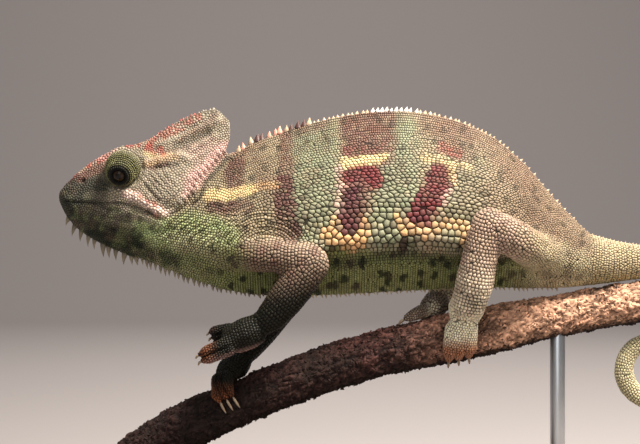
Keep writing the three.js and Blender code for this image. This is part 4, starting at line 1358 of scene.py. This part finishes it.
def triangles(piece):
    return sum(len(face.vertices) - 2 for face in piece.data.polygons)


report("scales built: " + ", ".join(f"{name} {triangles(piece)}" for name, piece in coat.items()))

# ---- Crests ----
crestSettings = {"sides": 8, "sink": 0.5, "bend": 0.3, "unevenness": 0.16, "seed": 11}
# By row: from, to, spacing, length, half width along the body, and over or under it.
crestRows = {
    "casque": (-74, -49, 1.2, 0.55, 0.55, "over"),
    "backFront": (-42, -18, 1.9, 2.1, 1.25, "over"),
    "backMiddle": (-18, 30, 1.55, 1.2, 0.9, "over"),
    "backRear": (30, 66, 1.4, 0.8, 0.7, "over"),
    "tail": (66, 98, 1.2, 0.45, 0.5, "over"),
    "chin": (-96.5, -73, 2.2, 3.6, 1.0, "under"),
    "breast": (-73, -26, 1.5, 2.4, 0.74, "under"),
    "belly": (-26, 60, 1.5, 1.15, 0.6, "under"),
}


# The chin's spines are longest below the middle of the jaw, and the back's behind the casque.
def crestLength(name, x, length):
    if name == "chin":
        return min(2.4 + (x + 97) * 0.35, length * math.exp(-(((x + 87) / 22) ** 2)))
    if name == "breast":
        return 1.1 + (length - 1.1) * math.exp(-(((x + 73) / 25) ** 2))
    if name == "backMiddle" and not -0.5 < x < 15:
        return length * 0.7
    return length


def crestTone(name, x):
    if name.startswith("back"):
        if -0.5 < x < 15:
            return "crestPale"
        if -42 < x < -38.6 or -33 < x < -27:
            return "crestOrange"
        if -37.7 < x < -33 or -26.5 < x < -20:
            return "crestDark"
        return "crestTan"
    if name == "casque":
        return "red" if x < -55 else "casque"
    return {"tail": "crestTan", "chin": "chinSpine", "breast": "chinSpine"}.get(name, "ventral")


# The place on the middle line, found from above the body or, for its underside, from inside it.
def ridgePlace(x, side):
    top, belly = np.interp(x, bodyLine[0], bodyLine[1]), np.interp(x, bodyLine[0], bodyLine[2])
    start = top + 20 if side == "over" else (top + belly) / 2
    return surface.tree.ray_cast(Vector((x, 0, start)), Vector((0, 0, -1)))


# One spine: broad along the body, thin across it, and bent back towards the tail.
def addSpine(places, faces, colours, root, up, lean, length, width, colour):
    sides, rings = crestSettings["sides"], 5
    first = len(places)
    side = up.cross(lean).normalized()
    lean = side.cross(up).normalized()
    bend = length * crestSettings["bend"]
    for ring in range(rings):
        t = ring / rings
        centre = root + up * (length * t - crestSettings["sink"] * (1 - t)) + lean * bend * t * t
        half = width * (1 - t ** 1.25) * (1.1 if ring == 0 else 1)
        for corner in range(sides):
            turn = 2 * math.pi * corner / sides
            places.append(centre + lean * math.cos(turn) * half + side * math.sin(turn) * half * 0.62)
            colours.append(colour * (0.4 + 0.6 * min(1, t * 2)))
    places.append(root + up * length + lean * bend)
    colours.append(colour * 1.12)
    faces.append([first + corner for corner in reversed(range(sides))])
    for ring in range(rings - 1):
        for corner in range(sides):
            a, b = first + ring * sides + corner, first + ring * sides + (corner + 1) % sides
            faces.append([a, b, b + sides, a + sides])
    last = first + (rings - 1) * sides
    faces.extend([[last + corner, last + (corner + 1) % sides, len(places) - 1] for corner in range(sides)])


def buildCrests():
    rng = np.random.default_rng(crestSettings["seed"])
    places, faces, colours, roots = [], [], [], []
    for name, (start, end, spacing, length, width, side) in crestRows.items():
        for x in np.arange(start, end, spacing):
            x += rng.uniform(-0.2, 0.2) * spacing
            hit = ridgePlace(x, side)
            if hit[0] is None:
                continue
            up = Vector((hit[1].x * 0.6, 0, hit[1].z)).normalized()
            uneven = 1 + crestSettings["unevenness"] * rng.uniform(-1, 1)
            reach = max(crestLength(name, x, length), 0.5) * uneven
            colour = linear(crestTone(name, x)) * rng.uniform(0.85, 1.15)
            before = len(places)
            tilt = Vector((1, 0.25 * rng.uniform(-1, 1), 0))
            addSpine(places, faces, colours, hit[0], up, tilt, reach, width * uneven, colour)
            roots.extend([(hit[0], hit[2])] * (len(places) - before))
    mesh = bpy.data.meshes.new("crest_spines")
    mesh.from_pydata([place * mm for place in places], [], faces)
    piece = newPiece("crest_spines", mesh)
    face = np.array([root[1] for root in roots])
    centre = np.array([root[0][:] for root in roots])
    share = surface.shares(centre, face)
    rootUv = sum(surface.uv[face, k] * share[:, k, None] for k in range(3))
    offset = np.array([place[:] for place in places]) - centre
    farthest = np.maximum(np.abs(offset).max(1), 1)[:, None]
    uv = rootUv + offset[:, [0, 1]] / farthest * scaleSettings["patch"]
    loops = np.empty(len(mesh.loops), np.int32)
    mesh.loops.foreach_get("vertex_index", loops)
    mesh.uv_layers.new(name="OFBake").uv.foreach_set("vector", uv[loops].astype(np.float32).ravel())
    paintPoints(piece, np.array(colours))
    shadeSmooth(piece)
    return piece


crests = buildCrests()
report("crests built")

# ---- Eyes and claws ----
# How far the pupil and the iris reach, in radians from where the eye looks, and their colours.
eyeSettings = {"segments": 40, "rings": 28, "pupil": 0.42, "iris": 0.8,
               "black": (0.006, 0.005, 0.004), "gold": (0.03, 0.017, 0.008)}
clawSettings = {"thinner": 0.08, "levels": 2}


def buildEye(nodeName, side):
    low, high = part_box(nodeName)
    centre = (Vector(low) + Vector(high)) / 2
    radius = max(high[i] - low[i] for i in range(3)) / 2
    deselectAll()
    bpy.ops.mesh.primitive_uv_sphere_add(
        segments=eyeSettings["segments"], ring_count=eyeSettings["rings"], radius=radius, location=centre)
    bead = bpy.context.object
    bead.name = bead.data.name = "eyeball" + nodeName[3:]
    bpy.ops.object.transform_apply(location=True, rotation=True, scale=True)
    shadeSmooth(bead)
    look = next(way for frameSide, _, way in turretFrames() if frameSide == side)
    away = (vertexArray(bead) - np.array(centre[:])) / radius
    turn = np.arccos(np.clip(away @ look, -1, 1))
    ring = smoothStep(eyeSettings["pupil"] - 0.03, eyeSettings["pupil"] + 0.03, turn)
    ring *= 1 - smoothStep(eyeSettings["iris"] - 0.05, eyeSettings["iris"] + 0.1, turn)
    black, gold = np.array(eyeSettings["black"]), np.array(eyeSettings["gold"])
    paintPoints(bead, black * (1 - ring)[:, None] + gold * ring[:, None])
    return bead


eyes = {name: buildEye(name, side) for name, side in (("eye_left", -1), ("eye_right", 1))}


def buildClaw(nodeName):
    claw = mergedCopy(nodeName, nodeName + "_horn")
    levels = clawSettings["levels"]
    applyModifier(claw, "DISPLACE", strength=-clawSettings["thinner"] * mm, mid_level=0)
    applyModifier(claw, "SUBSURF", levels=levels, render_levels=levels)
    shadeSmooth(claw)
    return claw


claws = {name: buildClaw(name) for name in cadNodes if name.startswith("claw_")}
report("eyes and claws built")

# ---- Branch ----
barkSettings = {"voxel": 0.45, "crumb": 0.55, "lump": 0.35, "proud": 0.2, "chips": 7600, "seed": 21}


# The bark's colour, partly its own and partly painted light and shade: pale and reddish on the near side
# towards the tail, where painted light falls in patches, with painted shade below, and darker wood and
# painted shade towards the head.
def barkColours(x, turn, shade):
    lit = smoothStep(-0.4, 0.7, np.cos(turn + 0.8)) * (0.25 + 0.75 * smoothStep(-30, 36, x))
    red = smoothStep(-50, -20, x) * (1 - smoothStep(20, 50, x))
    dark, ruddy = np.array([0.022, 0.013, 0.01]), np.array([0.135, 0.052, 0.042])
    pale = np.array([0.66, 0.37, 0.235])
    lit = lit * np.clip(0.85 + 0.8 * planeNoise(x * 0.11, turn * 0.7, 9), 0.2, 1.4)
    towardsTail = smoothStep(0, 44, x) ** 1.2
    warm = ruddy * (0.3 + 0.7 * red)[:, None] + (pale - ruddy * 0.4) * towardsTail[:, None]
    mix = np.clip(lit * (1 + 0.9 * shade), 0, 1)[:, None]
    return dark * (1 - mix) + warm * mix


def buildBranch():
    bark = mergedCopy("perch", "branch_bark")
    applyModifier(bark, "REMESH", mode="VOXEL", voxel_size=barkSettings["voxel"] * mm)
    applyModifier(bark, "SMOOTH", factor=0.5, iterations=18)
    places, normals = vertexArray(bark) / mm, vertexArray(bark, "normal")
    x, y, z = places.T
    steps = np.linspace(x.min() + 2, x.max() - 2, 40)
    middle = np.array([z[np.abs(x - step) < 3].mean() for step in steps])
    height = z - np.interp(x, steps, middle)
    turn = np.arctan2(y, height)
    around = turn * 7
    warp = 0.8 * planeNoise(x * 0.5, around * 0.5, 8)
    crumb = (1.6 * np.abs(planeNoise(x * 0.55 + warp, around * 0.8 - warp, 1)) - 0.55
             + 1.3 * np.abs(planeNoise(x * 1.1 - warp, around * 1.25 + warp, 2)) - 0.4)
    lump = planeNoise(x * 0.22, around * 0.3, 3) + 0.5 * planeNoise(x * 0.45, around * 0.5, 4)
    side = 1 - smoothStep(0.55, 0.85, np.abs(normals[:, 0]))
    relief = (barkSettings["crumb"] * crumb + barkSettings["lump"] * lump + barkSettings["proud"]) * side
    grips = treeOf([
        cadNodes[name] for name in cadNodes
        if name.startswith(("claw_", "hand_", "foot_")) or "toes" in name])
    room = np.array([grips.find_nearest(Vector(place * mm))[3] for place in places]) / mm
    relief = np.minimum(relief, 2 * smoothStep(0.7, 2.6, room) - 0.12)
    grain = planeNoise(y * 0.9, height * 0.9, 6)
    relief += (1 - side) * (0.12 * grain - 0.1)
    setVertices(bark, (places + normals * relief[:, None]) * mm)
    # Painted shade in the bark's pits and painted light on its crumbs.
    colours = barkColours(x, turn, crumb * 0.6) * np.clip(0.8 + 0.6 * crumb, 0.12, 1.4)[:, None]
    radius = np.hypot(y, height)
    ends = np.array([0.42, 0.28, 0.17]) * (0.8 + 0.15 * np.sin(radius * 6) + 0.2 * grain)[:, None]
    colours = colours * side[:, None] + ends * (1 - side)[:, None]
    paintPoints(bark, colours)
    shadeSmooth(bark)
    return bark, (steps, middle, np.gradient(middle, steps))


# Short chips of fibre that lie over the bark in all directions, most of them along the branch.
def buildChips(bark, line):
    rng = np.random.default_rng(barkSettings["seed"])
    count = barkSettings["chips"]
    tree = treeOf([bark])
    low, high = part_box("perch")
    xs = rng.uniform(low[0] / mm + 3.5, high[0] / mm - 3.5, count)
    turns = rng.uniform(-math.pi, math.pi, count)
    # The chips take the bark's colours, painted light and shade with them.
    tones = barkColours(xs, turns, rng.uniform(-1, 1, count)) * rng.uniform(0.45, 1.5, count)[:, None]
    places, faces, colours = [], [], []
    for x, turn, tone in zip(xs, turns, tones):
        ray = Vector((0, math.sin(turn), math.cos(turn)))
        start = Vector((x, 0, np.interp(x, line[0], line[1]))) * mm
        hit, normal, _, _ = tree.ray_cast(start + ray * 0.02, -ray)
        if hit is None:
            continue
        run = Vector((1, 0, np.interp(x, line[0], line[2]))).normalized()
        across = normal.cross(run).normalized()
        swing = rng.normal(0, 0.9)
        run = (run * math.cos(swing) + across * math.sin(swing)) * rng.choice((-1, 1))
        across = normal.cross(run).normalized()
        length, half = rng.uniform(0.5, 1.5) * mm, rng.uniform(0.2, 0.36) * mm
        lift, first = rng.uniform(0, 0.3) * mm, len(places)
        for t, share in ((-0.5, 0.6), (rng.uniform(-0.2, 0.2), 1), (0.5, 0.5)):
            centre = hit + run * length * t + normal * (lift * (t + 0.5) ** 2 - 0.02 * mm)
            wide = across * half * share * rng.uniform(0.7, 1.2)
            thick = normal * half * share * rng.uniform(0.6, 1.2)
            places += [centre + wide, centre + thick, centre - wide, centre - thick]
            colours += [tone * (0.8 + 0.4 * (t + 0.5))] * 4
        for ring in (0, 4):
            for corner in range(4):
                a, b = first + ring + corner, first + ring + (corner + 1) % 4
                faces.append([a, b, b + 4, a + 4])
        faces += [[first + 3, first + 2, first + 1, first], [first + 8, first + 9, first + 10, first + 11]]
    mesh = bpy.data.meshes.new("branch_chips")
    mesh.from_pydata(places, [], faces)
    piece = newPiece("branch_chips", mesh)
    editAll(piece)
    bpy.ops.mesh.normals_make_consistent(inside=False)
    endEdit()
    paintPoints(piece, np.array(colours))
    return piece


bark, branchLine = buildBranch()
chips = buildChips(bark, branchLine)
report("branch built")

# ---- Stand ----
standSettings = {"edge": 1.4, "corner": 14, "rodSides": 48, "collar": 4.6, "collarHeight": 2.6,
                 "shoulder": 1.1, "shoulderHeight": 0.8, "steelEdge": 0.3}


def finishPiece(piece, name, edge):
    piece.name = piece.data.name = name
    bpy.ops.object.transform_apply(location=True, rotation=True, scale=True)
    applyModifier(
        piece, "BEVEL", width=edge * mm, segments=3, limit_method="ANGLE", angle_limit=math.radians(40))
    pick(piece)
    bpy.ops.object.shade_smooth_by_angle(angle=math.radians(35))
    return piece


def buildBase():
    low, high = (Vector(corner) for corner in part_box("stand_base"))
    deselectAll()
    bpy.ops.mesh.primitive_cube_add(size=1, location=(low + high) / 2, scale=high - low)
    plinth = bpy.context.object
    bpy.ops.object.transform_apply(location=True, rotation=True, scale=True)
    height = [vertex.co.z for vertex in plinth.data.vertices]
    uprights = [abs(height[edge.vertices[0]] - height[edge.vertices[1]]) > mm for edge in plinth.data.edges]
    selectParts(plinth, "EDGE", uprights)
    bpy.ops.mesh.bevel(offset=standSettings["corner"] * mm, segments=12)
    endEdit()
    return finishPiece(plinth, "stand_base_wood", standSettings["edge"])


def buildRod(nodeName):
    low, high = (Vector(corner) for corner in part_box(nodeName))
    centre = (low + high) / 2
    deselectAll()
    bpy.ops.mesh.primitive_cylinder_add(
        vertices=standSettings["rodSides"], radius=(high.x - low.x) / 2, depth=high.z - low.z,
        location=centre)
    rod = finishPiece(bpy.context.object, nodeName + "_steel", standSettings["steelEdge"])
    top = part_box("stand_base")[1][2]
    deselectAll()
    bpy.ops.mesh.primitive_cylinder_add(
        vertices=standSettings["rodSides"], radius=standSettings["collar"] * mm,
        depth=standSettings["collarHeight"] * mm,
        location=(centre.x, centre.y, top + standSettings["collarHeight"] * mm / 2))
    collar = bpy.context.object
    selectParts(collar, "FACE", [face.normal.z > 0.9 for face in collar.data.polygons])
    bpy.ops.mesh.inset(thickness=standSettings["shoulder"] * mm)
    bpy.ops.transform.translate(value=(0, 0, standSettings["shoulderHeight"] * mm))
    endEdit()
    return rod, finishPiece(collar, nodeName + "_collar", standSettings["steelEdge"])


plinth = buildBase()
rodPieces = {name: buildRod(name) for name in ("stand_rod_front", "stand_rod_back")}
report("stand built")


# ---- Materials ----
def newMaterial(name, **values):
    made = bpy.data.materials.new(name)
    made.use_nodes = True
    shader = made.node_tree.nodes["Principled BSDF"]
    for socket, value in values.items():
        shader.inputs[socket.replace("_", " ")].default_value = value
    return made, made.node_tree, shader


def addNode(tree, kind, values=None, **settings):
    node = tree.nodes.new(kind)
    for name, value in settings.items():
        setattr(node, name, value)
    for socket, value in (values or {}).items():
        node.inputs[socket].default_value = value
    return node


def objectNoise(tree, scale, detail=3.0):
    place = addNode(tree, "ShaderNodeTexCoord")
    noise = addNode(tree, "ShaderNodeTexNoise", {"Scale": scale, "Detail": detail})
    tree.links.new(place.outputs["Object"], noise.inputs["Vector"])
    return noise


def addBump(tree, shader, height, strength, distance):
    bump = addNode(tree, "ShaderNodeBump", {"Strength": strength, "Distance": distance})
    tree.links.new(height, bump.inputs["Height"])
    tree.links.new(bump.outputs["Normal"], shader.inputs["Normal"])


# A material whose colour is the painted pattern, mottled a little.
def patternMaterial(name, mottle, mottleScale, bump, bumpScale, roughness, specular):
    made, tree, shader = newMaterial(name, Roughness=roughness, Specular_IOR_Level=specular)
    pattern = addNode(tree, "ShaderNodeAttribute", attribute_name="pattern")
    noise = objectNoise(tree, mottleScale)
    ramp = addNode(tree, "ShaderNodeMapRange", {
        "From Min": 0.3, "From Max": 0.7, "To Min": 1 - mottle, "To Max": 1 + mottle})
    tree.links.new(noise.outputs["Fac"], ramp.inputs["Value"])
    mixer = addNode(tree, "ShaderNodeVectorMath", operation="SCALE")
    tree.links.new(pattern.outputs["Color"], mixer.inputs[0])
    tree.links.new(ramp.outputs["Result"], mixer.inputs["Scale"])
    tree.links.new(mixer.outputs["Vector"], shader.inputs["Base Color"])
    fine = objectNoise(tree, bumpScale, 4.0)
    addBump(tree, shader, fine.outputs["Fac"], 1.0, bump)
    return made


# By name: mottle and its scale, bump and its scale, roughness, and specular level.
patternLooks = {
    "chameleon_skin": (0.12, 900, 0.00008, 2600, 0.72, 0.2),
    "chameleon_scales": (0.1, 1400, 0.00004, 4200, 0.5, 0.24),
    "crest_horn": (0.1, 1400, 0.00005, 3000, 0.45, 0.5),
    "bark_fibre": (0.22, 700, 0.00025, 1800, 0.85, 0.2),
    "eye_gloss": (0.05, 900, 0.0, 900, 0.08, 0.2),
}
skinLook, scaleLook, crestLook, barkLook, eyeLook = [
    patternMaterial(name, *values) for name, values in patternLooks.items()]


def clawMaterial():
    made, tree, shader = newMaterial("claw_horn", Roughness=0.35, Specular_IOR_Level=0.5)
    noise = objectNoise(tree, 500)
    ramp = addNode(tree, "ShaderNodeValToRGB")
    ramp.color_ramp.elements[0].color = (0.17, 0.105, 0.06, 1)
    ramp.color_ramp.elements[1].color = (0.42, 0.31, 0.2, 1)
    tree.links.new(noise.outputs["Fac"], ramp.inputs["Fac"])
    tree.links.new(ramp.outputs["Color"], shader.inputs["Base Color"])
    return made


def steelMaterial():
    made, tree, shader = newMaterial("brushed_steel", Metallic=1.0, Base_Color=(0.55, 0.56, 0.57, 1))
    noise = objectNoise(tree, 240, 6.0)
    ramp = addNode(tree, "ShaderNodeMapRange", {"To Min": 0.22, "To Max": 0.42})
    tree.links.new(noise.outputs["Fac"], ramp.inputs["Value"])
    tree.links.new(ramp.outputs["Result"], shader.inputs["Roughness"])
    addBump(tree, shader, noise.outputs["Fac"], 0.5, 0.00003)
    return made


def woodMaterial():
    made, tree, shader = newMaterial("stained_wood", Roughness=0.4, Specular_IOR_Level=0.45)
    place = addNode(tree, "ShaderNodeTexCoord")
    mapping = addNode(tree, "ShaderNodeMapping", {"Scale": (6, 90, 90)})
    tree.links.new(place.outputs["Object"], mapping.inputs["Vector"])
    grain = addNode(tree, "ShaderNodeTexNoise", {"Scale": 3.0, "Detail": 6.0, "Distortion": 0.6})
    tree.links.new(mapping.outputs["Vector"], grain.inputs["Vector"])
    ramp = addNode(tree, "ShaderNodeValToRGB")
    ramp.color_ramp.elements[0].position, ramp.color_ramp.elements[1].position = 0.3, 0.72
    ramp.color_ramp.elements[0].color = (0.016, 0.009, 0.006, 1)
    ramp.color_ramp.elements[1].color = (0.065, 0.036, 0.022, 1)
    tree.links.new(grain.outputs["Fac"], ramp.inputs["Fac"])
    tree.links.new(ramp.outputs["Color"], shader.inputs["Base Color"])
    addBump(tree, shader, grain.outputs["Fac"], 0.4, 0.00012)
    return made


clawLook, steelLook, woodLook = clawMaterial(), steelMaterial(), woodMaterial()


def dress(piece, look, slotName, *nodes):
    piece.data.materials.clear()
    piece.data.materials.append(look)
    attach(piece, "root")
    if nodes:
        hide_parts(*nodes)


dress(skin, skinLook, "body_skin", *fleshNodes)
coatSlots = {"scales_head": "head_skin", "scales_turrets": "head_skin", "scales_arms": "limb_skin",
             "scales_legs": "limb_skin", "scales_feet": "limb_skin", "scales_tail": "tail_skin"}
for name, piece in coat.items():
    dress(piece, scaleLook, coatSlots.get(name, "body_skin"))
dress(crests, crestLook, "body_skin")
for name, bead in eyes.items():
    dress(bead, eyeLook, "eye", name)
for name, claw in claws.items():
    dress(claw, clawLook, "claw", name)
dress(bark, barkLook, "bark", "perch")
dress(chips, barkLook, "bark")
dress(plinth, woodLook, "stained_wood", "stand_base")
for name, (rod, collar) in rodPieces.items():
    dress(rod, steelLook, "steel_rod", name)
    dress(collar, steelLook, "steel_rod")
report("pieces dressed")

# ---- Floor and light ----
studio = {"front": -0.7, "back": 0.9, "wide": 3.0, "tall": 1.8, "bend": 0.5}


# A pale floor that turns up into a backdrop.
def buildStage():
    deselectAll()
    bpy.ops.mesh.primitive_plane_add(size=1, location=(0, 0, 0))
    floor = bpy.context.object
    floor.name = floor.data.name = "floor"
    steps = 24
    profile = [(studio["front"], 0), (studio["back"], 0)]
    for step in range(1, steps + 1):
        turn = step / steps * math.pi / 2
        back, up = studio["bend"] * math.sin(turn), studio["bend"] * (1 - math.cos(turn))
        profile.append((studio["back"] + back, up))
    profile.append((studio["back"] + studio["bend"], studio["tall"]))
    places = [(side * studio["wide"] / 2, y, z) for y, z in profile for side in (-1, 1)]
    faces = [(2 * i, 2 * i + 1, 2 * i + 3, 2 * i + 2) for i in range(len(profile) - 1)]
    floor.data.clear_geometry()
    floor.data.from_pydata(places, [], faces)
    shadeSmooth(floor)
    paper = newMaterial(
        "studio_paper", Roughness=0.9, Specular_IOR_Level=0.1, Base_Color=(0.36, 0.325, 0.31, 1))[0]
    floor.data.materials.append(paper)


# By name: place, what it points at, size, watts and colour.
lamps = {
    "key": ((0.17, -0.14, 0.5), (0.01, 0, 0.1), 0.14, 7, (1.0, 0.95, 0.88)),
    "fill": ((-0.1, -0.8, 0.3), (-0.02, 0, 0.09), 0.5, 1.2, (0.95, 0.97, 1.0)),
    "back": ((0.2, 0.5, 0.55), (0, 0, 0.1), 0.5, 1.6, (1.0, 0.98, 0.95)),
    "wall": ((0, 0.45, 0.9), (0, 1.3, 0.35), 0.8, 5.2, (1.0, 0.94, 0.92)),
}


def buildLights():
    for name, (place, target, size, power, colour) in lamps.items():
        deselectAll()
        bpy.ops.object.light_add(type="AREA", location=place)
        lamp = bpy.context.object
        lamp.name = "light_" + name
        lamp.data.energy, lamp.data.size, lamp.data.color = power, size, colour
        lamp.rotation_euler = (Vector(target) - Vector(place)).to_track_quat("-Z", "Y").to_euler()
    world = bpy.data.worlds.new("studio")
    world.use_nodes = True
    world.node_tree.nodes["Background"].inputs["Color"].default_value = (0.95, 0.97, 1, 1)
    world.node_tree.nodes["Background"].inputs["Strength"].default_value = 0.24
    bpy.context.scene.world = world
    bpy.context.scene.view_settings.view_transform = "Standard"


buildStage()
buildLights()
deselectAll()
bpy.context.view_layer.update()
report("scene finished")
